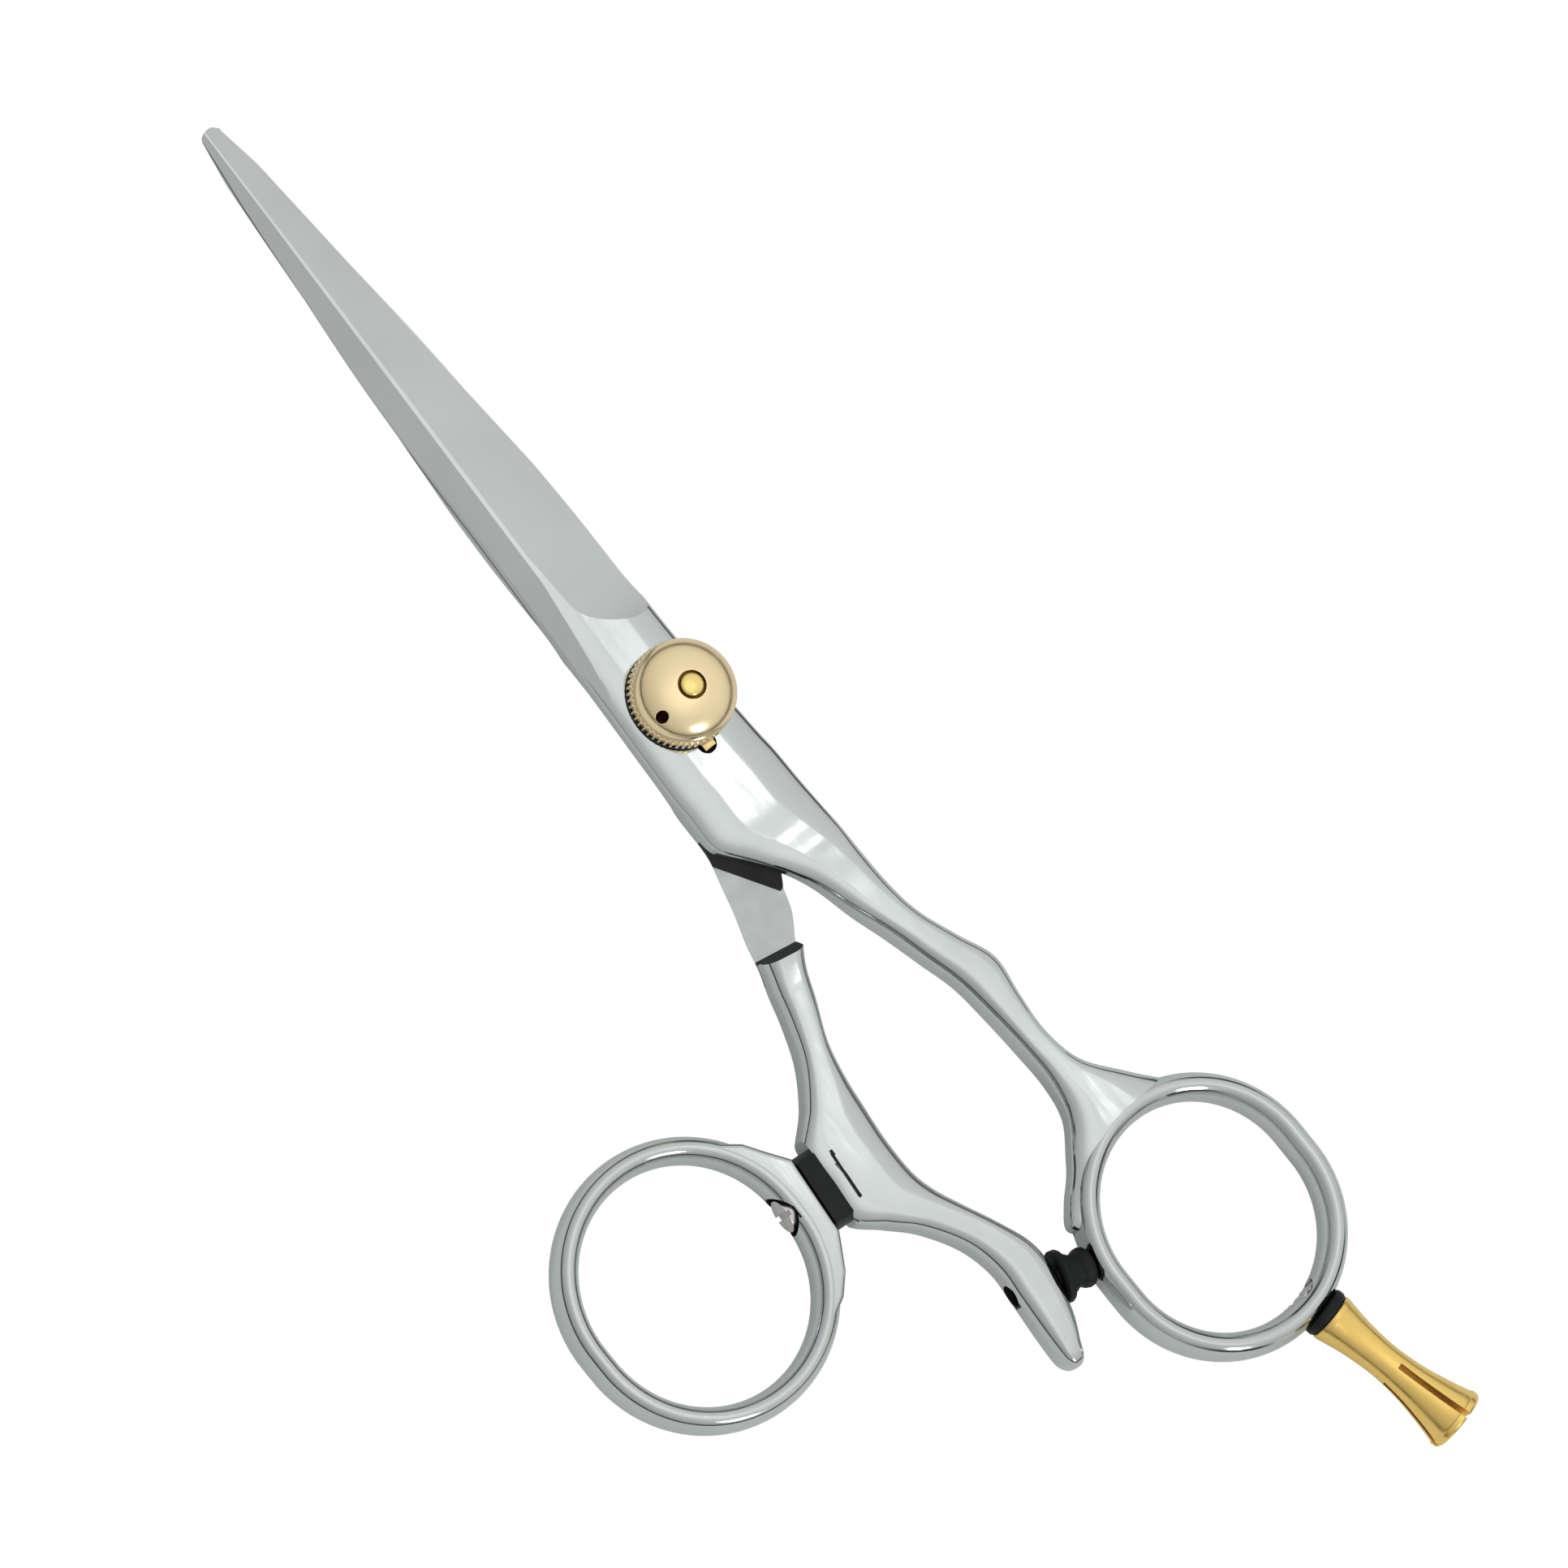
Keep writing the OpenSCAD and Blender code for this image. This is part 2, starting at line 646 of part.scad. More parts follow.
detent_d = dial_d - 0.9;
dial_recess = 0.5;
spring_washer_d = pivot_d + 1.6;
ball_d = 1.1;
click_r = spring_washer_d / 2 + 0.15 + ball_d / 2;
dial_cap_t = 0.9;
pin_d = 2.3;
ball_z = detent_top + 0.02;
spring_hole = 2.4;    // depth of the hole for the ball and its spring, from the dial's lower face

module dial_washer() {
    color("black")
    translate([0, 0, detent_top])
        tube(dial_d - 0.1, 2 * click_r + ball_d + 0.2, dial_washer_t);
}

module tension_dial() {
    dome_r = dial_d / 2 - 0.15;
    dome_z = dial_h * 0.5;
    dome_end = 67.5;      // angle at which the dome meets the flat round the pin
    tooth = 0.18;
    pin_groove = 0.25;
    key_d = 1.4;
    key_deg = 99;
    dome = [for (a = [0 : dome_end / 9 : dome_end])
        [dome_r * cos(a), dome_z + (dial_h - dome_z) * sin(a) / sin(dome_end)]];
    color("gold")
    translate([0, 0, dial_z])
    difference() {
        union() {
            linear_extrude(height = knurl_h)
                polygon([for (i = [0 : 2 * knurl_teeth - 1])
                    let (a = i * 180 / knurl_teeth, r = dial_d / 2 - (i % 2) * tooth)
                    [r * cos(a), r * sin(a)]]);
            rotate_extrude()
                polygon(concat([[0, 0], [dome_r - 0.3, 0], [dome_r - 0.3, knurl_h + 0.1],
                    [dome_r - 0.1, knurl_h + 0.3]], dome, [[0, dial_h]]));
        }
        translate([0, 0, -1])
            cylinder(d = pivot_d - 1 + 2 * run_fit, h = dial_h - dial_cap_t + 1 + 0.1);
        translate([0, 0, -1])
            cylinder(d = spring_washer_d + 0.2, h = dial_recess + 1);
        translate([click_r, 0, -1])
            cylinder(d = ball_d + 0.1, h = 1 + spring_hole, $fn = 32);
        translate([0, 0, dial_h - dial_cap_t])
            cylinder(d = pin_d + 2 * press_fit, h = 3);
        translate([0, 0, dial_h - pin_groove])
            cylinder(d = pin_d + 2 * pin_groove, h = 3);
        rotate([0, 0, key_deg])
            translate([dome_r - 1.6, 0, knurl_h + 0.9])
                rotate([0, 90, 0])
                    cylinder(d = key_d, h = 4, $fn = 32);
    }
}

module dial_pin() {
    crown = 3;
    pin_h = dial_cap_t + 0.1;
    color("gold")
    translate([0, 0, dial_top - dial_cap_t + 0.2])
        intersection() {
            cylinder(d = pin_d, h = pin_h);
            translate([0, 0, pin_h - crown])
                sphere(r = crown);
        }
}

module click_ball() {
    color("gainsboro")
    translate([click_r, 0, ball_z + ball_d / 2])
        sphere(d = ball_d, $fn = 32);
}

// Coil spring that presses the ball down
module click_spring() {
    wire = 0.16;
    turns = 5;
    sides = 6;
    per_turn = 12;
    r = ball_d / 2 - wire;
    length = dial_z + spring_hole - (ball_z + ball_d) - 0.1;
    color("gray")
    translate([click_r, 0, ball_z + ball_d + wire / 2 + 0.02])
        skin([for (i = [0 : turns * per_turn])
            let (a = i * 360 / per_turn, z = (length - wire) * i / (turns * per_turn))
            [for (k = [0 : sides - 1]) let (b = k * 360 / sides, w = r + wire / 2 * cos(b))
                [w * cos(a), w * sin(a), z + wire / 2 * sin(b)]]]);
}

finger_blade();
thumb_blade();
thumb_ring();
pivot_screw();
pivot_bush();
back_washer();
detent_plate();
spring_washer();
dial_washer();
tension_dial();
dial_pin();
click_ball();
click_spring();
swivel_screw();
swivel_bush();
swivel_washer();
bumper();
finger_rest_screw();
finger_rest_washer();
finger_rest();
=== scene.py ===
"""Looks of the hair cutting shears: polished blades and handles, dial, bumper and finger rest."""
import math

import bpy
from mathutils import Matrix, Vector


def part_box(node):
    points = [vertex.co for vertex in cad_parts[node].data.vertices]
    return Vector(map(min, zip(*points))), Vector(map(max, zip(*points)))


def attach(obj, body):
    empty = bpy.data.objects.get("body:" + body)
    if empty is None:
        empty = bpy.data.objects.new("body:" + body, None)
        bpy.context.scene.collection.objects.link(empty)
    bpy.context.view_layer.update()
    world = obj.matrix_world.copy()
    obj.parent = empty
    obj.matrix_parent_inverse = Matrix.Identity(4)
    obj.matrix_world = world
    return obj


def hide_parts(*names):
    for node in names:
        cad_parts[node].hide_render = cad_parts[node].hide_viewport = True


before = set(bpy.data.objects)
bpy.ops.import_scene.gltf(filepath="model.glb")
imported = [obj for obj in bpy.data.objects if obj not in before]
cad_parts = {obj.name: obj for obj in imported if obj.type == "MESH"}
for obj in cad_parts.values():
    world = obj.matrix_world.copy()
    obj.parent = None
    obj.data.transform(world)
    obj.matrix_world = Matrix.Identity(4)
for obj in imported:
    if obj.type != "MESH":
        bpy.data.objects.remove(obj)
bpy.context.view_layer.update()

bl_info = {
    "name": "Hair cutting shears",
    "version": (1, 0, 0),
    "blender": (4, 5, 0),
    "location": "View3D > Sidebar > Shears",
    "description": "Builds the visible pieces of swivel-thumb hair cutting shears round their packed frame",
    "category": "Object",
}

MM = 0.001
BODY_FINGER = "finger_side"
BODY_THUMB = "thumb_side"
BODY_RING = "thumb_ring_body"
BODY_DIAL = "dial"


# ---- Sizes and colours --------------------------------------------------------

def length(name, text, value, low=0.0001, high=0.2):
    return bpy.props.FloatProperty(name=name, description=text, default=value, min=low, max=high,
                                   unit="LENGTH", precision=5)


def colour(name, text, value):
    return bpy.props.FloatVectorProperty(name=name, description=text, default=value, size=3,
                                         min=0, max=1, subtype="COLOR")


class ShearsSizes(bpy.types.PropertyGroup):
    """Sizes of the visible pieces, in metres."""
    blade_len: length("Blade length", "From the pivot axis to the tips", 0.0694)
    blade_w: length("Blade width", "Width of a blade at its shoulder", 0.0118)
    tip_w: length("Tip width", "Width of the rounded tip", 0.0022)
    blade_t: length("Blade thickness", "Thickness of a blade at the pivot", 0.0023)
    handle_len: length("Handle length", "Along X from the pivot axis to the finger ring's centre", 0.0697)
    finger_drop: length("Finger ring drop", "Finger ring's centre below the pivot axis", 0.0098)
    shank_t: length("Shank thickness", "Thickness of both shanks", 0.0045)
    hole_l: length("Finger hole length", "Length of the oval finger hole", 0.0228)
    hole_w: length("Finger hole width", "Width of the oval finger hole", 0.0205)
    ring_w: length("Finger ring width", "Radial width of the finger ring", 0.0027)
    thumb_hole_l: length("Thumb hole length", "Length of the oval thumb hole", 0.0232)
    thumb_hole_w: length("Thumb hole width", "Width of the oval thumb hole", 0.0217)
    thumb_ring_w: length("Thumb ring width", "Radial width of the thumb ring", 0.0026)
    ring_t: length("Ring thickness", "Thickness of both rings", 0.0046)
    dial_d: length("Dial diameter", "Over the knurled rim", 0.0103)
    dial_h: length("Dial height", "Height of the dial", 0.0046)
    knurl_h: length("Knurl height", "Height of the knurled rim", 0.0014)
    rest_len: length("Finger rest length", "Length of the finger rest", 0.0159)


class ShearsColours(bpy.types.PropertyGroup):
    """Base colours of the finishes."""
    steel: colour("Steel", "Mirror-polished stainless steel", (0.60, 0.625, 0.615))
    dial_gold: colour("Dial gold", "Champagne gold plate of the dial", (1.0, 0.79, 0.48))
    pin_gold: colour("Pin gold", "Yellow gold plate of the dial's pin", (1.0, 0.76, 0.28))
    rest_gold: colour("Rest gold", "Yellow gold plate of the finger rest", (0.96, 0.66, 0.20))
    rubber: colour("Rubber", "Black rubber and nylon", (0.005, 0.0055, 0.006))


def sizes():
    return bpy.context.scene.shears_sizes


def colours():
    return bpy.context.scene.shears_colours


# ---- Modelling helpers ----------------------------------------------------------

def clear_selection():
    if bpy.context.object and bpy.context.object.mode != "OBJECT":
        bpy.ops.object.mode_set(mode="OBJECT")
    bpy.ops.object.select_all(action="DESELECT")


def only(obj):
    clear_selection()
    obj.hide_set(False)
    obj.select_set(True)
    bpy.context.view_layer.objects.active = obj
    return obj


def apply_place(obj):
    only(obj)
    bpy.ops.object.transform_apply(location=True, rotation=True, scale=True)
    return obj


def faces_out(obj):
    only(obj)
    bpy.ops.object.mode_set(mode="EDIT")
    bpy.ops.mesh.select_all(action="SELECT")
    bpy.ops.mesh.remove_doubles(threshold=1e-7)
    bpy.ops.mesh.normals_make_consistent(inside=False)
    bpy.ops.object.mode_set(mode="OBJECT")
    return obj


def smooth(obj, degrees=30):
    """Smooth shading up to an angle, with the large faces kept flat."""
    only(obj)
    bpy.ops.object.shade_smooth_by_angle(angle=math.radians(degrees))
    mod = obj.modifiers.new("flat_faces", "WEIGHTED_NORMAL")
    mod.keep_sharp = True
    bpy.ops.object.modifier_apply(modifier=mod.name)
    return obj


def drop(obj):
    mesh = obj.data
    bpy.data.objects.remove(obj)
    bpy.data.meshes.remove(mesh)


def combine(obj, tool, operation="DIFFERENCE"):
    """One boolean, applied; the tool is removed."""
    only(obj)
    mod = obj.modifiers.new("cut", "BOOLEAN")
    mod.operation = operation
    mod.solver = "MANIFOLD"
    mod.object = tool
    bpy.ops.object.modifier_apply(modifier=mod.name)
    drop(tool)
    return obj


def blend_rows(a, b, c, d, t):
    return [0.5 * (2 * q + (r - p) * t + (2 * p - 5 * q + 4 * r - s) * t * t
                   + (3 * q - p - 3 * r + s) * t * t * t) for p, q, r, s in zip(a, b, c, d)]


def curve_rows(rows, steps):
    """Smooth curve through rows of numbers, with a number of steps between rows."""
    last = len(rows) - 1
    out = []
    for i in range(last):
        for k in range(steps):
            out.append(blend_rows(rows[max(i - 1, 0)], rows[i], rows[i + 1], rows[min(i + 2, last)],
                                  k / steps))
    return out + [list(rows[-1])]


def loft(name, rows, corner=0.33, segments=12, steps=6):
    """Bar along X through rows [x, low y, high y, low z, high z] in millimetres, with round corners."""
    stations = curve_rows(rows, steps)
    x, y0, y1, z0, z1 = [v * MM for v in stations[0]]
    clear_selection()
    bpy.ops.mesh.primitive_plane_add(size=1, location=(x, (y0 + y1) / 2, (z0 + z1) / 2),
                                     rotation=(0, math.pi / 2, 0))
    obj = bpy.context.object
    obj.name = obj.data.name = name
    obj.scale = (z1 - z0, y1 - y0, 1)
    apply_place(obj)
    bpy.ops.object.mode_set(mode="EDIT")
    bpy.ops.mesh.select_all(action="SELECT")
    bpy.ops.transform.resize(value=(1, 1 / (y1 - y0), 1 / (z1 - z0)),
                             center_override=(x, (y0 + y1) / 2, (z0 + z1) / 2))
    bpy.ops.mesh.bevel(offset=corner, offset_type="OFFSET", affect="VERTICES", segments=segments)
    bpy.ops.mesh.select_all(action="SELECT")
    bpy.ops.transform.resize(value=(1, y1 - y0, z1 - z0),
                             center_override=(x, (y0 + y1) / 2, (z0 + z1) / 2))
    before = (x, y0, y1, z0, z1)
    for row in stations[1:]:
        x, y0, y1, z0, z1 = [v * MM for v in row]
        bx, by0, by1, bz0, bz1 = before
        step = (x - bx, (y0 + y1 - by0 - by1) / 2, (z0 + z1 - bz0 - bz1) / 2)
        bpy.ops.mesh.extrude_region_move(TRANSFORM_OT_translate={"value": step})
        bpy.ops.transform.resize(value=(1, (y1 - y0) / (by1 - by0), (z1 - z0) / (bz1 - bz0)),
                                 center_override=(x, (y0 + y1) / 2, (z0 + z1) / 2))
        before = (x, y0, y1, z0, z1)
    bpy.ops.object.mode_set(mode="OBJECT")
    return faces_out(obj)


def slice_flat(obj, height, keep_above, low_x):
    """Cuts the bar flat at a height, from a place along X to the tips."""
    low, high = (height - 0.1, height) if keep_above else (height, height + 0.1)
    return combine(obj, block("slice", (low_x, -0.1, low), (0.2, 0.1, high)))


def block(name, low, high):
    """Box between two corners."""
    clear_selection()
    bpy.ops.mesh.primitive_cube_add(size=1, location=[(a + b) / 2 for a, b in zip(low, high)])
    obj = bpy.context.object
    obj.name = name
    obj.scale = [b - a for a, b in zip(low, high)]
    return apply_place(obj)


def rod(name, radius, length_, place, sides=48):
    """Cylinder of a length along the Z axis of a matrix, from its origin."""
    clear_selection()
    bpy.ops.mesh.primitive_cylinder_add(vertices=sides, radius=radius, depth=length_)
    obj = bpy.context.object
    obj.name = name
    obj.matrix_world = place @ Matrix.Translation((0, 0, length_ / 2))
    return apply_place(obj)


def prism(name, points, low, high):
    """Upright block over an outline of points."""
    clear_selection()
    bpy.ops.mesh.primitive_circle_add(vertices=len(points), radius=1, fill_type="NGON")
    obj = bpy.context.object
    obj.name = name
    for v, p in zip(obj.data.vertices, points):
        v.co = (p[0], p[1], low)
    only(obj)
    bpy.ops.object.mode_set(mode="EDIT")
    bpy.ops.mesh.select_all(action="SELECT")
    bpy.ops.mesh.extrude_region_move(TRANSFORM_OT_translate={"value": (0, 0, high - low)})
    bpy.ops.object.mode_set(mode="OBJECT")
    return faces_out(obj)


def turned(name, profile, place, sides=96):
    """Solid of revolution: a disc extruded up and resized through [radius, height] rows."""
    clear_selection()
    r, z = profile[0]
    bpy.ops.mesh.primitive_circle_add(vertices=sides, radius=r, fill_type="NGON", location=(0, 0, z))
    obj = bpy.context.object
    obj.name = obj.data.name = name
    apply_place(obj)
    bpy.ops.object.mode_set(mode="EDIT")
    bpy.ops.mesh.select_all(action="SELECT")
    for nr, nz in profile[1:]:
        bpy.ops.mesh.extrude_region_move(TRANSFORM_OT_translate={"value": (0, 0, nz - z)})
        bpy.ops.transform.resize(value=(nr / r, nr / r, 1), center_override=(0, 0, nz))
        r, z = nr, nz
    bpy.ops.object.mode_set(mode="OBJECT")
    faces_out(obj)
    obj.matrix_world = place
    return apply_place(obj)


def along(centre, direction, height):
    """Matrix whose Z axis lies in the XY plane along a direction."""
    angle = math.atan2(direction[1], direction[0])
    return (Matrix.Translation((centre[0], centre[1], height)) @ Matrix.Rotation(angle, 4, "Z")
            @ Matrix.Rotation(math.pi / 2, 4, "Y"))


def oval_ring(name, centre, height, hole_l, hole_w, width, thick):
    """Torus stretched to an oval ring of rounded section."""
    clear_selection()
    bpy.ops.mesh.primitive_torus_add(major_segments=128, minor_segments=40, location=(0, 0, 0),
                                     major_radius=(hole_w + width) / 2, minor_radius=width / 2)
    obj = bpy.context.object
    obj.name = obj.data.name = name
    obj.scale = (1, 1, thick / width)
    apply_place(obj)
    shift = (hole_l - hole_w) / 2
    for side in (-1, 1):
        bpy.ops.object.mode_set(mode="EDIT")
        bpy.ops.mesh.select_all(action="DESELECT")
        bpy.ops.object.mode_set(mode="OBJECT")
        for v in obj.data.vertices:
            v.select = v.co.x * side > 1e-6
        bpy.ops.object.mode_set(mode="EDIT")
        bpy.ops.mesh.select_mode(type="VERT")
        bpy.ops.transform.translate(value=(side * shift, 0, 0))
        bpy.ops.object.mode_set(mode="OBJECT")
    obj.location = (centre[0], centre[1], height)
    return apply_place(obj)


def oval_plug(name, centre, height, hole_l, hole_w):
    """Upright oval block that fills an oval hole."""
    shift = (hole_l - hole_w) / 2
    low, high = height - 0.006, height + 0.006
    points = []
    for side in (1, -1):
        for i in range(33):
            a = math.radians(-90 * side + i * 180 / 32)
            points.append((centre[0] + side * shift + hole_w / 2 * math.cos(a),
                           centre[1] + hole_w / 2 * math.sin(a)))
    return prism(name, points, low, high)


INSIDE = 0.9995    # share of a bore's radius within which a face counts as inside


def in_bore(place, radius, low, high):
    """Test for faces inside a round bore along the Z axis of a matrix."""
    back = place.inverted()

    def test(centre, normal):
        q = back @ centre
        return math.hypot(q.x, q.y) < radius * INSIDE and low < q.z < high
    return test


def in_box(low, high, flattest=1.0, place=None):
    """Test for faces in a box, leaving out those that look up more than a limit."""
    back = place.inverted() if place else Matrix.Identity(4)

    def test(centre, normal):
        q = back @ centre
        return all(a < v < b for v, a, b in zip(q, low, high)) and abs(normal.z) <= flattest
    return test


def paint_recess_shade(obj, *tests, finish="recess"):
    """Faces in recesses take a darker material of their own: painted shade."""
    obj.data.materials.append(FINISHES[finish])
    for poly in obj.data.polygons:
        if any(test(poly.center, poly.normal) for test in tests):
            poly.material_index = len(obj.data.materials) - 1


def finish_piece(obj, body, replaced, material):
    obj.data.materials.clear()
    obj.data.materials.append(material)
    for poly in obj.data.polygons:
        poly.material_index = 0
    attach(obj, body)
    if replaced:
        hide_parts(*replaced)
    return obj


# ---- Frame of the shears ---------------------------------------------------------

class Frame:
    """Places shared by the pieces, in metres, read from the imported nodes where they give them."""

    def __init__(self):
        s = sizes()
        self.head_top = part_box("pivot_screw")[0].z
        self.boss_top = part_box("detent_plate")[1].z - 0.0003
        self.mate = self.boss_top - s.blade_t - 0.00005
        self.finger = Vector((-s.handle_len, -s.finger_drop))
        self.bracket = Vector((-0.0445, 0.0182))
        self.bracket_turn = math.radians(5.4)
        self.swivel = Vector((math.sin(self.bracket_turn), math.cos(self.bracket_turn)))
        self.ring_seat = 0.00206
        self.thumb_wall = 0.0034
        reach = self.ring_seat + self.thumb_wall + s.thumb_hole_w / 2
        self.thumb = self.bracket + self.swivel * reach - Vector((0.0008, 0))
        turn = math.radians(17)
        self.bumper = Vector((math.sin(turn), math.cos(turn)))
        self.bumper_flat = s.hole_w / 2 + s.ring_w - 0.0002
        self.tail_in = self.bumper_flat + 0.0038
        self.tail = self.finger + self.bumper * (self.tail_in + 0.0025)
        turn = math.radians(12.5)
        self.rest = Vector((-math.cos(turn), -math.sin(turn)))
        self.rest_seat = s.hole_l / 2 + s.ring_w - 0.0003


# ---- Materials ---------------------------------------------------------------------

def new_material(name):
    mat = bpy.data.materials.new(name)
    mat.use_nodes = True
    nodes = mat.node_tree.nodes
    nodes.clear()
    out = nodes.new("ShaderNodeOutputMaterial")
    bsdf = nodes.new("ShaderNodeBsdfPrincipled")
    mat.node_tree.links.new(bsdf.outputs[0], out.inputs[0])
    return mat, bsdf


def noise(mat, scale, detail=4, rough=0.5, stretch=None):
    """Noise on Object coordinates; its first output is the value."""
    tree = mat.node_tree
    coord = tree.nodes.new("ShaderNodeTexCoord")
    source = coord.outputs["Object"]
    if stretch:
        mapping = tree.nodes.new("ShaderNodeMapping")
        mapping.inputs["Scale"].default_value = stretch
        tree.links.new(source, mapping.inputs[0])
        source = mapping.outputs[0]
    tex = tree.nodes.new("ShaderNodeTexNoise")
    tex.inputs["Scale"].default_value = scale
    tex.inputs["Detail"].default_value = detail
    tex.inputs["Roughness"].default_value = rough
    tree.links.new(source, tex.inputs["Vector"])
    return tex.outputs[0]


def spread(mat, value, low, high):
    """Maps a value from 0.3..0.7 to low..high."""
    node = mat.node_tree.nodes.new("ShaderNodeMapRange")
    node.inputs["From Min"].default_value = 0.3
    node.inputs["From Max"].default_value = 0.7
    node.inputs["To Min"].default_value = low
    node.inputs["To Max"].default_value = high
    mat.node_tree.links.new(value, node.inputs["Value"])
    return node.outputs[0]


def tint(mat, value, dark, light):
    ramp = mat.node_tree.nodes.new("ShaderNodeValToRGB")
    ramp.color_ramp.elements[0].position = 0.3
    ramp.color_ramp.elements[1].position = 0.7
    ramp.color_ramp.elements[0].color = (*dark, 1)
    ramp.color_ramp.elements[1].color = (*light, 1)
    mat.node_tree.links.new(value, ramp.inputs[0])
    return ramp.outputs[0]


def bumped(mat, bsdf, value, strength, depth, edge=0.0):
    """Bump from a value, over softened edges of a radius."""
    tree = mat.node_tree
    node = tree.nodes.new("ShaderNodeBump")
    node.inputs["Strength"].default_value = strength
    node.inputs["Distance"].default_value = depth
    tree.links.new(value, node.inputs["Height"])
    if edge:
        soft = tree.nodes.new("ShaderNodeBevel")
        soft.samples = 12
        soft.inputs["Radius"].default_value = edge
        tree.links.new(soft.outputs[0], node.inputs["Normal"])
    tree.links.new(node.outputs[0], bsdf.inputs["Normal"])


def shade(c, factor):
    return tuple(min(1, v * factor) for v in c)


def metal(name, base, low, high, lines=(1, 1, 1), depth=0.00001, edge=0.0):
    """Plated or polished metal: base colour, roughness range, polishing lines and soft edges."""
    mat, bsdf = new_material(name)
    bsdf.inputs["Metallic"].default_value = 1
    cloud = noise(mat, 90, 3)
    colour_out = tint(mat, cloud, shade(base, 0.95), shade(base, 1.03))
    mat.node_tree.links.new(colour_out, bsdf.inputs["Base Color"])
    grain = noise(mat, 700, 5, 0.6, lines)
    mat.node_tree.links.new(spread(mat, grain, low, high), bsdf.inputs["Roughness"])
    bumped(mat, bsdf, grain, 0.12, depth, edge)
    return mat


def dull(name, base, low, high, depth):
    """Dull black of rubber and nylon, with a fine grain; on the faces of a recess it is painted shade."""
    mat, bsdf = new_material(name)
    bsdf.inputs["Specular IOR Level"].default_value = 0.25
    cloud = noise(mat, 400, 4)
    mat.node_tree.links.new(tint(mat, cloud, shade(base, 0.7), shade(base, 1.6)), bsdf.inputs["Base Color"])
    grain = noise(mat, 3500, 3)
    mat.node_tree.links.new(spread(mat, grain, low, high), bsdf.inputs["Roughness"])
    bumped(mat, bsdf, grain, 0.35, depth, 0.00012)
    return mat


FINISHES = {}


def make_finishes():
    c = colours()
    steel = tuple(c.steel)
    FINISHES.update(
        polished=metal("polished_steel", steel, 0.07, 0.14, (0.25, 1.6, 1.6), 0.000008, 0.0),
        satin=metal("satin_steel", (0.70, 0.66, 0.65), 0.22, 0.36, edge=0.0001),
        spring=metal("spring_steel", (0.52, 0.52, 0.53), 0.2, 0.34),
        bronze=metal("sintered_bronze", (0.60, 0.42, 0.24), 0.34, 0.5, depth=0.00002, edge=0.0001),
        plate=metal("detent_gold", (0.80, 0.60, 0.30), 0.16, 0.3, edge=0.0001),
        dial=metal("dial_gold", tuple(c.dial_gold), 0.17, 0.26, edge=0.0001),
        pin=metal("pin_gold", tuple(c.pin_gold), 0.1, 0.2, edge=0.00008),
        # Darker gold for the pin's recess and the key hole: painted shade in the hollows.
        groove=metal("groove_painted_shade", (0.20, 0.10, 0.03), 0.35, 0.5),
        # Darker, rougher steel for the scoop's floor: its darker colour is painted shade in the recess.
        scoop=metal("satin_scoop_painted_shade", (0.42, 0.44, 0.43), 0.16, 0.26),
        # Dull black for holes, slits and steps: painted shade.
        recess=dull("recess_painted_shade", (0.012, 0.012, 0.012), 0.45, 0.65, 0.00001),
        rest=metal("rest_gold", tuple(c.rest_gold), 0.2, 0.32, edge=0.00012),
        rubber=dull("black_rubber", tuple(c.rubber), 0.42, 0.62, 0.00003),
        nylon=dull("black_nylon", tuple(c.rubber), 0.3, 0.45, 0.00001),
    )


# ---- Blades -----------------------------------------------------------------------------

# Measures of the blades, in millimetres and degrees
SHOULDER = -13.3
SKEW = 0.37
BLADE_SHIFT = 0.7
EDGE_T = 0.15
GRIND_X = 13.5
GRIND_DEG = 16
RUNOUT_R = 12
GRIND_BOW = 0.12
RIDGE_UP = 0.01
BEVEL_DEG = 29

# Radii of holes and the scoop's depth, in metres
FINGER_PIVOT_R = 0.00202
THUMB_PIVOT_R = 0.00256
DETENT_R = 0.001
STEM_R = 0.00112
COUNTERBORE_R = 0.00217
PIN_RECESS_R = 0.0014
KEY_R = 0.0006
SCOOP_DEEP = 0.00125
DROP_DRAWN = 0.0098    # finger ring drop that the handle's rows are drawn at

# Angles on the dial, in degrees
KEY_DEG = 99
KEY_LEAN_DEG = 62
DOME_DEG = 72.8


def spine_rows():
    s = sizes()
    half, length_ = s.blade_w / 2 / MM, s.blade_len / MM
    rows = [[SHOULDER, half], [-6, half - 0.2], [6, half - 0.7], [20, half - 1.3],
            [length_ * 0.45, half - 1.6], [length_ * 0.6, half - 2.1],
            [length_ * 0.75, half - 3.05], [length_ * 0.88, half - 3.9]]
    tip = s.tip_w / 2 / MM
    return rows, tip, length_


def blade_rows(side):
    """Rows of a blade from behind the pivot to its tip, in the shears' frame, without heights."""
    rows, tip, length_ = spine_rows()
    out = []
    for i, (x, half) in enumerate(rows[1:], 1):
        inner = half - 0.45 if i < 3 else half + 0.35
        out.append([x, -inner, half])
    out.append([length_ - tip, -tip, tip])
    placed = []
    for x, low, high in out:
        drift = BLADE_SHIFT - x * math.tan(math.radians(SKEW))
        if side < 0:
            low, high = -high, -low
        placed.append([x, low + drift, high + drift])
    return placed, tip, length_


def blade_place(side, mate):
    turn = Matrix.Rotation(-math.radians(SKEW), 4, "Z")
    flip = Matrix.Identity(4) if side > 0 else Matrix.Rotation(math.pi, 4, "X")
    return Matrix.Translation((0, BLADE_SHIFT * MM, mate + side * 0.00005)) @ turn @ flip


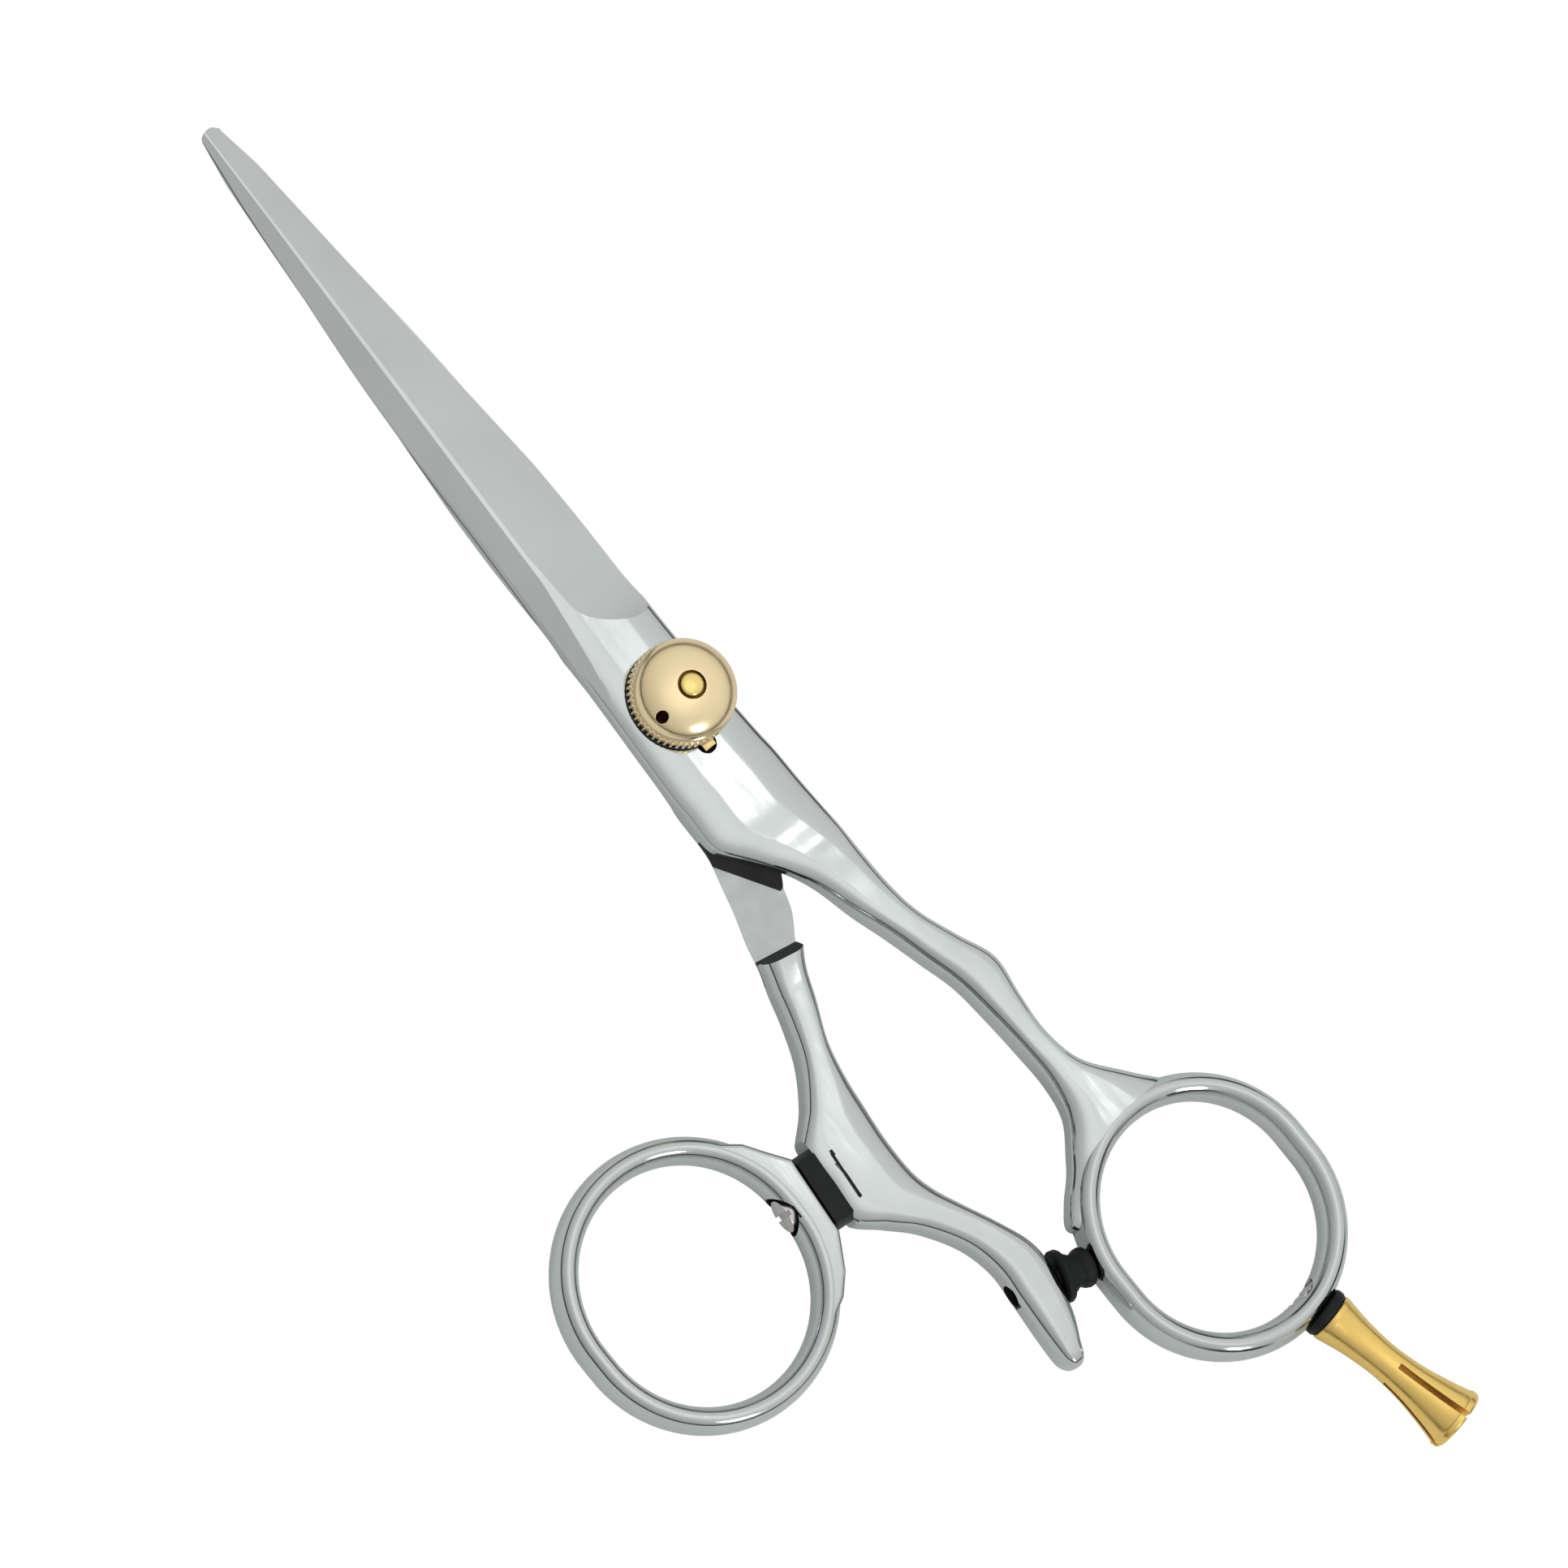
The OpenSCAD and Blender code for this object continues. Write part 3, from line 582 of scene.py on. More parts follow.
def ground_cutter(place):
    """Cutter of the slightly crowned ground face, which rises out of the blade on a wheel's round."""
    ys = [-1.5 + i * 13 / 20 for i in range(21)]
    mid, half = 4.3, 5
    outline = [(y, GRIND_BOW * (1 - ((y - mid) / half) ** 2)) for y in ys] + [(ys[-1], 20), (ys[0], 20)]
    clear_selection()
    bpy.ops.mesh.primitive_circle_add(vertices=len(outline), radius=1, fill_type="NGON")
    obj = bpy.context.object
    obj.name = "ground_face"
    back, steps = 9, 30
    rise = [RUNOUT_R - math.sqrt(RUNOUT_R ** 2 - (back * (1 - i / steps)) ** 2) for i in range(steps + 1)]
    for v, (y, z) in zip(obj.data.vertices, outline):
        v.co = (-back * MM, y * MM, (z + rise[0]) * MM)
    only(obj)
    bpy.ops.object.mode_set(mode="EDIT")
    bpy.ops.mesh.select_all(action="SELECT")
    for i in range(steps):
        bpy.ops.mesh.extrude_region_move(
            TRANSFORM_OT_translate={"value": (back / steps * MM, 0, (rise[i + 1] - rise[i]) * MM)})
    bpy.ops.mesh.extrude_region_move(TRANSFORM_OT_translate={"value": (0.075, 0, 0)})
    bpy.ops.object.mode_set(mode="OBJECT")
    faces_out(obj)
    obj.matrix_world = place
    return apply_place(obj)


def ridge_cutter(ground, spine):
    """Cutter of the narrow polished land where the ground face and the spine bevel meet."""
    n1 = (ground.to_3x3() @ Vector((0, 0, 1))).normalized()
    n2 = (spine.to_3x3() @ Vector((0, 0, 1))).normalized()
    way = n1.cross(n2).normalized()
    up = (n1 + n2).normalized()
    planes = Matrix((n1, n2, Vector((1, 0, 0))))
    mid = planes.inverted() @ Vector((n1.dot(ground.translation), n2.dot(spine.translation), 0.045))
    side = up.cross(way)
    turn = Matrix((way, side, up)).transposed().to_4x4()
    obj = block("ridge_land", (-0.06, -0.01, 0), (0.06, 0.01, 0.01))
    obj.matrix_world = Matrix.Translation(mid + up * RIDGE_UP * MM) @ turn
    return apply_place(obj)


def grind_tools(side, mate):
    """Cutters of one blade: the ground face with its round run-out, and the spine bevel."""
    s = sizes()
    rows, _, length_ = spine_rows()
    start = -(rows[4][1] + 0.35)
    end = -(rows[7][1] + 0.35)
    lean = math.atan2(end - start, rows[7][0] - rows[4][0])
    base = (blade_place(side, mate) @ Matrix.Translation((GRIND_X * MM, (start - 0.6) * MM, EDGE_T * MM))
            @ Matrix.Rotation(lean, 4, "Z") @ Matrix.Rotation(math.radians(GRIND_DEG), 4, "X"))
    face = ground_cutter(base)
    fall = math.atan2(s.blade_t / MM - 0.95, length_ - 23.4)
    tilt = math.atan2(1.84, 46)
    half = s.blade_w / 2 / MM
    spine = (blade_place(side, mate)
             @ Matrix.Translation((GRIND_X * MM, (half - 3.05) * MM, s.blade_t))
             @ Matrix.Rotation(-tilt, 4, "Z") @ Matrix.Rotation(fall, 4, "Y")
             @ Matrix.Rotation(-math.radians(BEVEL_DEG), 4, "X"))
    bevel = block("spine_bevel", (-0.06, 0, 0), (0.09, 0.03, 0.03))
    bevel.matrix_world = spine
    apply_place(bevel)
    return [face, bevel, ridge_cutter(base, spine)]


def with_heights(rows, low, high):
    return [[r[0], r[1], r[2], low, high] for r in rows]


def tip_rows(rows, tip, length_, low, high):
    """Rounded end of a blade, as extra rows."""
    last = rows[-1]
    mid = (last[1] + last[2]) / 2
    out = []
    for a in (20, 38, 54, 68, 80):
        t = math.radians(a)
        half = tip * math.cos(t)
        out.append([length_ - tip * (1 - math.sin(t)), mid - half, mid + half, low, high])
    return out


def finger_handle_rows():
    s = sizes()
    half = s.blade_w / 2 / MM
    top = s.blade_t / MM + 0.05
    t = s.shank_t / 2 / MM
    k = s.finger_drop / DROP_DRAWN
    reach = s.handle_len / MM - s.hole_l / 2 / MM + SHOULDER
    rows = [
        [1.12, -19.6 * k, 0.6 * k, -t, t], [1.085, -19 * k, 2.0 * k, -t, t],
        [1.04, -18 * k, 0.6 * k, -t, t], [1, -16.4 * k, -1.3 * k, -t, t],
        [0.965, -14.6 * k, -2.6 * k, -t, t], [0.9, -12 * k, -4.7 * k, -t, t],
        [0.82, -9.2 * k, -5.4 * k, -t, t], [0.73, -8.3 * k, -5.3 * k, -t, t],
        [0.64, -8.6 * k, -5 * k, -t, t], [0.545, -9.1 * k, -4.5 * k, -t, t],
        [0.46, -7.5 * k, -3.4 * k, -t, t], [0.37, -5.9 * k, -2.2 * k, -t, t],
        [0.29, -5.3 * k, -0.9 * k, -t * 0.9, t], [0.2, -5.1, 0.4, -t * 0.6, t],
        [0.13, 0.9 - half, half - 3.8, -0.6, top], [0.07, 1 - half, half - 1.8, -0.8, top - 0.05],
    ]
    rows = [[SHOULDER - r[0] * reach] + r[1:] for r in rows]
    rows.append([SHOULDER, 1.1 - half, half + 0.45, -1.2, top])
    rows.append([-9.5, 1.15 - half, half + 0.5, -1.3, top])
    return rows


def thumb_handle_rows(f):
    s = sizes()
    half = s.blade_w / 2 / MM
    top = s.blade_t / MM + 0.05
    t = s.shank_t / 2 / MM
    tx, ty = f.tail[0] / MM, f.tail[1] / MM
    bx, by, hw = f.bracket[0] / MM, f.bracket[1] / MM, 3.95
    return [
        [tx - 8.4, ty + 1.5, ty + 1.75, -t + 1.7, t - 1.7],
        [tx - 8.3, ty + 1.15, ty + 2.1, -t + 1.1, t - 1.1],
        [tx - 8, ty + 0.8, ty + 2.4, -t + 0.65, t - 0.65],
        [tx - 7.5, ty + 0.5, ty + 2.65, -t + 0.3, t - 0.3],
        [tx - 6.6, ty + 0.1, ty + 2.8, -t + 0.1, t - 0.1], [tx - 4, ty - 1.2, ty + 2.7, -t, t],
        [tx, ty - 2.3, ty + 2.4, -t, t], [tx + 3.4, ty - 2.3, ty + 2.2, -t, t],
        [tx + 7, ty - 0.9, ty + 3.1, -t, t], [bx - hw - 5, 9.3, 13.8, -t, t],
        [bx - hw - 2.5, 10.4, 16.3, -t, t], [bx - hw + 0.1, 11, by + 0.7, -t, t],
        [bx, 11, by + 0.6, -t, t], [bx + hw - 0.2, 10.6, by + 0.5, -t, t],
        [bx + 7, 10.2, 15.4, -t, t], [bx + 10.5, 9.4, 12.9, -t, t],
        [SHOULDER - 17, 7.7, 11.4, -t, t], [SHOULDER - 14, 6.4, 10.5, -t, t],
        [SHOULDER - 11.5, 4.7, 9.6, -t, t * 0.9], [SHOULDER - 9, 3.1, 8.9, -top, 1.2],
        [SHOULDER - 6, 2, 7.9, -top, 1.2], [SHOULDER - 3, 0.2, 7.1, -top, 1.2],
        [SHOULDER, 3.4 - half, half + 0.5, -top, 1.3], [-9, 2.6 - half, half + 0.4, -top, 1.3],
    ]


def raised(rows, mate):
    """Heights from the mating plane to heights in the shears' frame."""
    return [[r[0], r[1], r[2], r[3] + mate / MM, r[4] + mate / MM] for r in rows]


def pivot_hole(obj, radius):
    """Hole on the pivot axis."""
    return combine(obj, rod("hole", radius, 0.03, Matrix.Translation((0, 0, -0.01)), 64))


class SHEARS_OT_finger_blade(bpy.types.Operator):
    """Finger blade: blade, boss, shank and oval finger ring as one forging"""
    bl_idname = "shears.finger_blade"
    bl_label = "Finger blade"

    def execute(self, context):
        s, f = sizes(), Frame()
        top = s.blade_t / MM + 0.05
        blade, tip, length_ = blade_rows(1)
        rows = finger_handle_rows() + with_heights(blade, -1.3, top)
        rows += tip_rows(blade, tip, length_, -1.3, top)
        obj = loft("finger_blade_forging", raised(rows, f.mate))
        slice_flat(obj, f.mate + 0.00005, True, (SHOULDER - 0.3) * MM)
        for tool in grind_tools(1, f.mate):
            combine(obj, tool)
        combine(obj, oval_plug("plug", f.finger, f.mate, s.hole_l + s.ring_w, s.hole_w + s.ring_w))
        ring = oval_ring("ring", f.finger, f.mate, s.hole_l, s.hole_w, s.ring_w, s.ring_t)
        combine(obj, ring, "UNION")
        combine(obj, rod("seat", 0.0035, 0.003, along(f.finger, f.bumper, f.mate)
                         @ Matrix.Translation((0, 0, f.bumper_flat))))
        rest = along(f.finger, f.rest, f.mate)
        combine(obj, rod("seat", 0.00315, 0.003, rest @ Matrix.Translation((0, 0, f.rest_seat))))
        combine(obj, rod("sink", 0.00165, 0.0039, rest @ Matrix.Translation((0, 0, s.hole_l / 2 - 0.003))))
        detent = Matrix.Translation((-0.0051, 0.0006, f.boss_top - 0.001))
        combine(obj, rod("detent", DETENT_R, 0.01, detent))
        pivot_hole(obj, FINGER_PIVOT_R)
        smooth(faces_out(obj), 9)
        finish_piece(obj, BODY_FINGER, ["finger_blade"], FINISHES["polished"])
        # The detent hole's walls take a dull black: painted shade.
        paint_recess_shade(obj, in_bore(detent, DETENT_R, -0.001, 0.00095))
        return {"FINISHED"}


class SHEARS_OT_thumb_blade(bpy.types.Operator):
    """Thumb blade: blade, boss, shank, swivel bracket and tail as one forging"""
    bl_idname = "shears.thumb_blade"
    bl_label = "Thumb blade"

    def execute(self, context):
        s, f = sizes(), Frame()
        top = s.blade_t / MM + 0.05
        blade, tip, length_ = blade_rows(-1)
        rows = thumb_handle_rows(f) + with_heights(blade, -top, 1.3)
        rows += tip_rows(blade, tip, length_, -top, 1.3)
        obj = loft("thumb_blade_forging", raised(rows, f.mate))
        slice_flat(obj, f.mate - 0.00005, False, (SHOULDER - 9) * MM)
        for tool in grind_tools(-1, f.mate):
            combine(obj, tool)
        outline = [(0.8, 9), (0.8, 6.1), (-5.4, 0.9), (-5.4, -2), (-12.4, 2.4), (-10.6, 12)]
        combine(obj, self.scoop(f, outline))
        bracket = along(f.bracket, f.swivel, f.mate)
        combine(obj, rod("bracket_face", 0.012, 0.03, bracket))
        combine(obj, rod("screw_hole", 0.00112, 0.0052, bracket @ Matrix.Translation((0, 0, -0.0042))))
        slit = block("slit", (-0.003, -0.0024, -0.0016), (-0.0018, 0.0024, -0.00128))
        slit.matrix_world = bracket
        combine(obj, apply_place(slit))
        tail = along(f.finger, f.bumper, f.mate)
        combine(obj, rod("stem_hole", STEM_R, 0.009,
                         tail @ Matrix.Translation((0, 0, f.tail_in - 0.001))))
        combine(obj, rod("flange_seat", 0.0034, 0.003, tail @ Matrix.Translation((0, 0, f.tail_in - 0.003))))
        pivot_hole(obj, THUMB_PIVOT_R)
        smooth(faces_out(obj), 9)
        finish_piece(obj, BODY_THUMB, ["thumb_blade"], FINISHES["polished"])
        # The scoop's walls, the bracket slit, the bumper's stem hole and the scoop's end step take a dull
        # black: painted shade.
        paint_recess_shade(obj, in_box(((SHOULDER - 13) * MM, 0, f.mate - 0.0012),
                             ((SHOULDER + 1) * MM, 0.012, f.mate - 0.0001), 0.92),
                 in_box((-0.0029, -0.0025, -0.00165), (-0.00182, 0.0025, -0.00122), 1, bracket),
                 in_bore(tail, STEM_R, f.tail_in, f.tail_in + 0.008), self.end_wall)
        # The scoop's floor takes a darker steel: painted shade.
        floor_z = f.mate - SCOOP_DEEP
        paint_recess_shade(obj, in_box(((SHOULDER - 13) * MM, 0, floor_z - 0.00005),
                             ((SHOULDER + 1) * MM, 0.012, floor_z + 0.00005)), finish="scoop")
        return {"FINISHED"}

    def scoop(self, f, outline):
        """Cutter of the scoop behind the shoulder, with sloping walls at its two ends."""
        deep, high = SCOOP_DEEP, 0.0024
        points = [((SHOULDER + x) * MM, y * MM) for x, y in outline]
        obj = prism("scoop", points, f.mate - deep, f.mate + high)
        slopes = {1: (-0.0010, 0.00115), 2: (-0.0016, 0.0019), 4: (0.0004, 0), 5: (0.0004, 0)}
        for i, (dx, dy) in slopes.items():
            x, y = (SHOULDER + outline[i][0]) * MM, outline[i][1] * MM
            for v in obj.data.vertices:
                if math.hypot(v.co.x - x, v.co.y - y) < 1e-6:
                    share = 1 if v.co.z < f.mate else -high / deep
                    v.co.x, v.co.y = x + dx * share, y + dy * share
        return faces_out(obj)

    def end_wall(self, centre, normal):
        """Test for the step at the far end of the scoop."""
        return (SHOULDER - 14) * MM < centre.x < (SHOULDER - 9.5) * MM and normal.x > 0.6


class SHEARS_OT_thumb_ring(bpy.types.Operator):
    """Thumb ring: oval ring drawn out to a flat seat at the swivel"""
    bl_idname = "shears.thumb_ring"
    bl_label = "Thumb ring"

    def execute(self, context):
        s, f = sizes(), Frame()
        obj = oval_ring("thumb_ring_forging", f.thumb, f.mate, s.thumb_hole_l, s.thumb_hole_w,
                        s.thumb_ring_w, s.ring_t)
        combine(obj, self.seat_wedge(f), "UNION")
        bracket = along(f.bracket, f.swivel, f.mate)
        seat = rod("seat", 0.015, 0.03, bracket @ Matrix.Translation((0, 0, f.ring_seat - 0.03)))
        combine(obj, seat)
        wall = f.ring_seat + f.thumb_wall
        combine(obj, rod("bore", 0.00166, 0.008, bracket @ Matrix.Translation((0, 0, -0.0005))))
        combine(obj, rod("counterbore", COUNTERBORE_R, 0.004,
                         bracket @ Matrix.Translation((0, 0, wall - 0.0014))))
        smooth(faces_out(obj), 20)
        finish_piece(obj, BODY_RING, ["thumb_ring"], FINISHES["polished"])
        # The counterbore's walls take a dull black: painted shade.
        paint_recess_shade(obj, in_bore(bracket, COUNTERBORE_R, 0, wall + 0.001))
        return {"FINISHED"}

    def seat_wedge(self, f):
        """Block that fills out the ring to its flat seat, tangent to the ring's outside."""
        s = sizes()
        mid = (s.thumb_hole_w + s.thumb_ring_w) / 2
        out = s.thumb_hole_w / 2 + s.thumb_ring_w - 0.00025
        reach = s.thumb_hole_w / 2 + f.thumb_wall
        half = 0.00395
        turn = Matrix.Rotation(-f.bracket_turn, 2)
        points = [Vector((0.0008 - half, -reach)), Vector((0.0008 + half, -reach))]
        for a, bulge in ((-62, 0.0010), (-52, 0.0007), (-40, 0)):
            points.append(Vector((math.cos(math.radians(a)), math.sin(math.radians(a)))) * (out + bulge))
        for a in range(-40, -141, -10):
            points.append(Vector((mid * math.cos(math.radians(a)), mid * math.sin(math.radians(a)))))
        for a, bulge in ((-140, 0), (-128, 0.0007), (-118, 0.0010)):
            points.append(Vector((math.cos(math.radians(a)), math.sin(math.radians(a)))) * (out + bulge))
        placed = [f.thumb + turn @ q for q in points]
        obj = prism("wedge", placed, f.mate - s.shank_t / 2, f.mate + s.shank_t / 2)
        only(obj)
        mod = obj.modifiers.new("round", "BEVEL")
        mod.width, mod.segments, mod.limit_method, mod.angle_limit = 0.0007, 5, "ANGLE", math.radians(60)
        bpy.ops.object.modifier_apply(modifier=mod.name)
        return faces_out(obj)


# ---- Dial, bumper, finger rest and washers ------------------------------------------------

class SHEARS_OT_dial(bpy.types.Operator):
    """Tension dial with its knurled rim, domed cap and key hole, and the pin in its middle"""
    bl_idname = "shears.dial"
    bl_label = "Tension dial"

    def execute(self, context):
        s = sizes()
        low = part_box("tension_dial")[0]
        place = Matrix.Translation((0, 0, low.z))
        r, h, k = s.dial_d / 2, s.dial_h, s.knurl_h
        side = r - 0.00015
        dome_z = h * 0.5
        profile = [[side - 0.0004, 0.0], [side - 0.0002, 0.0001], [side - 0.0002, k + 0.00012],
                   [side - 0.00008, k + 0.0003], [side, k + 0.0005]]
        for i in range(15):
            a = math.radians(i * 5.2)
            rise = math.sin(a) / math.sin(math.radians(DOME_DEG))
            profile.append([side * math.cos(a), dome_z + (h - dome_z) * rise])
        obj = turned("dial_cap", profile, place, 144)
        combine(obj, self.knurl(r, k, place), "UNION")
        combine(obj, rod("pin_recess", PIN_RECESS_R, 0.003,
                         place @ Matrix.Translation((0, 0, h - 0.00042)), 64))
        hole = (place @ Matrix.Rotation(math.radians(KEY_DEG), 4, "Z")
                @ Matrix.Translation((side - 0.0021, 0, k + 0.0016))
                @ Matrix.Rotation(math.radians(KEY_LEAN_DEG), 4, "Y"))
        combine(obj, rod("key_hole", KEY_R, 0.004, hole, 48))
        smooth(faces_out(obj), 28)
        finish_piece(obj, BODY_DIAL, ["tension_dial"], FINISHES["dial"])
        # The pin's recess and the key hole take a darker gold: painted shade in the hollows.
        paint_recess_shade(obj, in_bore(place, PIN_RECESS_R, h - 0.0008, h - 0.00001), finish="groove")
        paint_recess_shade(obj, in_bore(hole, KEY_R, -0.001, 0.004), finish="groove")
        pin_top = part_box("dial_pin")[1].z
        pin = turned("dial_pin_head", [[0.00105, 0], [0.00115, 0.0001], [0.00115, 0.0007], [0.00108, 0.00083],
                                       [0.0009, 0.00092], [0.0005, 0.00098], [0.0001, 0.001]],
                     Matrix.Translation((0, 0, pin_top - 0.001)), 64)
        smooth(pin, 40)
        finish_piece(pin, BODY_DIAL, ["dial_pin"], FINISHES["pin"])
        return {"FINISHED"}

    def knurl(self, r, k, place):
        """Rim of fine teeth with chamfered ends."""
        teeth = 52
        clear_selection()
        bpy.ops.mesh.primitive_circle_add(vertices=4 * teeth, radius=r - 0.0001, fill_type="NGON",
                                          location=(0, 0, 0.00005))
        obj = bpy.context.object
        apply_place(obj)
        bpy.ops.object.mode_set(mode="EDIT")
        bpy.ops.mesh.select_all(action="DESELECT")
        bpy.ops.object.mode_set(mode="OBJECT")
        for i, v in enumerate(obj.data.vertices):
            v.select = i % 4 in (0, 1)
        bpy.ops.object.mode_set(mode="EDIT")
        bpy.ops.mesh.select_mode(type="VERT")
        inner = (r - 0.0003) / (r - 0.0001)
        bpy.ops.transform.resize(value=(inner, inner, 1), center_override=(0, 0, 0))
        bpy.ops.mesh.select_all(action="SELECT")
        grow = r / (r - 0.0001)
        for dz, scale in ((0.00012, grow), (k - 0.0003, 1), (0.00014, 1 / grow)):
            bpy.ops.mesh.extrude_region_move(TRANSFORM_OT_translate={"value": (0, 0, dz)})
            bpy.ops.transform.resize(value=(scale, scale, 1), center_override=(0, 0, 0))
        bpy.ops.object.mode_set(mode="OBJECT")
        faces_out(obj)
        obj.matrix_world = place
        return apply_place(obj)


class SHEARS_OT_bumper(bpy.types.Operator):
    """Rubber bumper with its flange and stem"""
    bl_idname = "shears.bumper"
    bl_label = "Bumper"

    def execute(self, context):
        f = Frame()
        nose = f.tail_in - f.bumper_flat - 0.0001
        place = along(f.finger, f.bumper, f.mate) @ Matrix.Translation((0, 0, f.bumper_flat + 0.0001))
        r = 0.002
        profile = [[r - 0.0009, 0], [r - 0.0004, 0.0001], [r - 0.0001, 0.0004], [r, 0.0008],
                   [r - 0.0001, 0.0013], [r - 0.00035, 0.0017], [r - 0.00035, 0.0020], [r - 0.0001, 0.0023],
                   [r, nose - 0.0009], [r + 0.0005, nose - 0.0008], [r + 0.00064, nose - 0.0006],
                   [r + 0.00064, nose - 0.0001], [r + 0.0005, nose], [0.0011, nose],
                   [0.0011, nose + 0.0041], [0.0008, nose + 0.0042]]
        obj = turned("rubber_bumper", profile, place, 64)
        smooth(obj, 40)
        finish_piece(obj, BODY_THUMB, ["bumper"], FINISHES["rubber"])
        return {"FINISHED"}


class SHEARS_OT_finger_rest(bpy.types.Operator):
    """Waisted finger rest with crossing slots, and its washer"""
    bl_idname = "shears.finger_rest"
    bl_label = "Finger rest"

    def execute(self, context):
        s, f = sizes(), Frame()
        n = s.rest_len / MM
        rows = [[2.35, 0], [2.45, 0.12], [2.45, 0.5], [2.3, n * 0.08], [1.95, n * 0.22],
                [1.75, n * 0.42], [1.98, n * 0.62], [2.5, n * 0.8], [3.0, n * 0.93],
                [3.2, n * 0.955], [3.2, n * 0.985], [3.05, n]]
        rows = [[r * MM, z * MM] for r, z in
                [rows[0], rows[1], rows[2]] + curve_rows(rows[2:10], 5)[1:] + rows[10:]]
        place = along(f.finger, f.rest, f.mate) @ Matrix.Translation((0, 0, f.rest_seat + 0.0011))
        obj = turned("finger_rest_peg", rows, place, 96)
        for turn in (0, math.pi / 2):
            slot = block("slot", (-0.005, -0.0003, s.rest_len * 0.5), (0.005, 0.0003, s.rest_len + 0.002))
            slot.matrix_world = place @ Matrix.Rotation(turn, 4, "Z")
            combine(obj, apply_place(slot))
        combine(obj, rod("bore", 0.00102, 0.005, place @ Matrix.Translation((0, 0, -0.001))))
        smooth(faces_out(obj), 30)
        finish_piece(obj, BODY_FINGER, ["finger_rest"], FINISHES["rest"])
        washer = turned("finger_rest_oring", [[0.0021, 0], [0.0024, 0.0001], [0.0025, 0.00035],
                                              [0.0025, 0.00075], [0.0024, 0.001], [0.0021, 0.0011]],
                        place @ Matrix.Translation((0, 0, -0.0011)), 64)
        combine(washer, rod("bore", 0.00102, 0.005, place @ Matrix.Translation((0, 0, -0.003))))
        smooth(washer, 40)
        finish_piece(washer, BODY_FINGER, ["finger_rest_washer"], FINISHES["rubber"])
        return {"FINISHED"}


CARRIED = {
    "pivot_screw": "satin", "pivot_bush": "bronze", "back_washer": "nylon", "detent_plate": "plate",
    "spring_washer": "spring", "dial_washer": "nylon", "click_ball": "spring", "click_spring": "spring",
    "swivel_screw": "satin", "swivel_bush": "nylon", "swivel_washer": "nylon",
    "finger_rest_screw": "satin",
}


class SHEARS_OT_small_parts(bpy.types.Operator):
    """Finishes of the screws, bushes, washers, plate, ball and spring"""
    bl_idname = "shears.small_parts"
    bl_label = "Small parts"

    def execute(self, context):
        for name, finish in CARRIED.items():
            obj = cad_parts[name]
            if not obj.material_slots:
                only(obj)
                bpy.ops.object.material_slot_add()
            for slot in obj.material_slots:
                slot.material = FINISHES[finish]
        return {"FINISHED"}


# ---- Stage ------------------------------------------------------------------------------------

VIEW_TILT = math.radians(21)
ROLL = (-0.6271, -0.7789)    # the view's right hand, along the shears' X and Y
VIEW_DISTANCE = 0.9
VIEW_WIDTH = 0.1479
VIEW_TARGET = Vector((-0.01263, -0.00378, 0.00362))
GLINT_DISTANCE = 0.8
# Softboxes seen in the level faces: name, mirrored spot in mm, width and depth in m, brightness
GLINTS = (("boss_softbox", -10, 0.4, 0.012, 0.036, 4.5), ("runout_softbox", 9, 1.6, 0.008, 0.008, 4),
          ("web_softbox", -54, -9.5, 0.012, 0.01, 3.2), ("shank_softbox", -38.5, 12.5, 0.008, 0.016, 3.2))


def panel_light(name, place, target, size, power):
    """Softbox turned towards a target."""
    clear_selection()
    bpy.ops.object.light_add(type="AREA", location=place)
    lamp = bpy.context.object
    lamp.name = name
    lamp.data.shape = "RECTANGLE"
    lamp.data.size, lamp.data.size_y = size
    lamp.data.energy = power
    lamp.rotation_euler = (Vector(target) - Vector(place)).to_track_quat("-Z", "Y").to_euler()
    return lamp


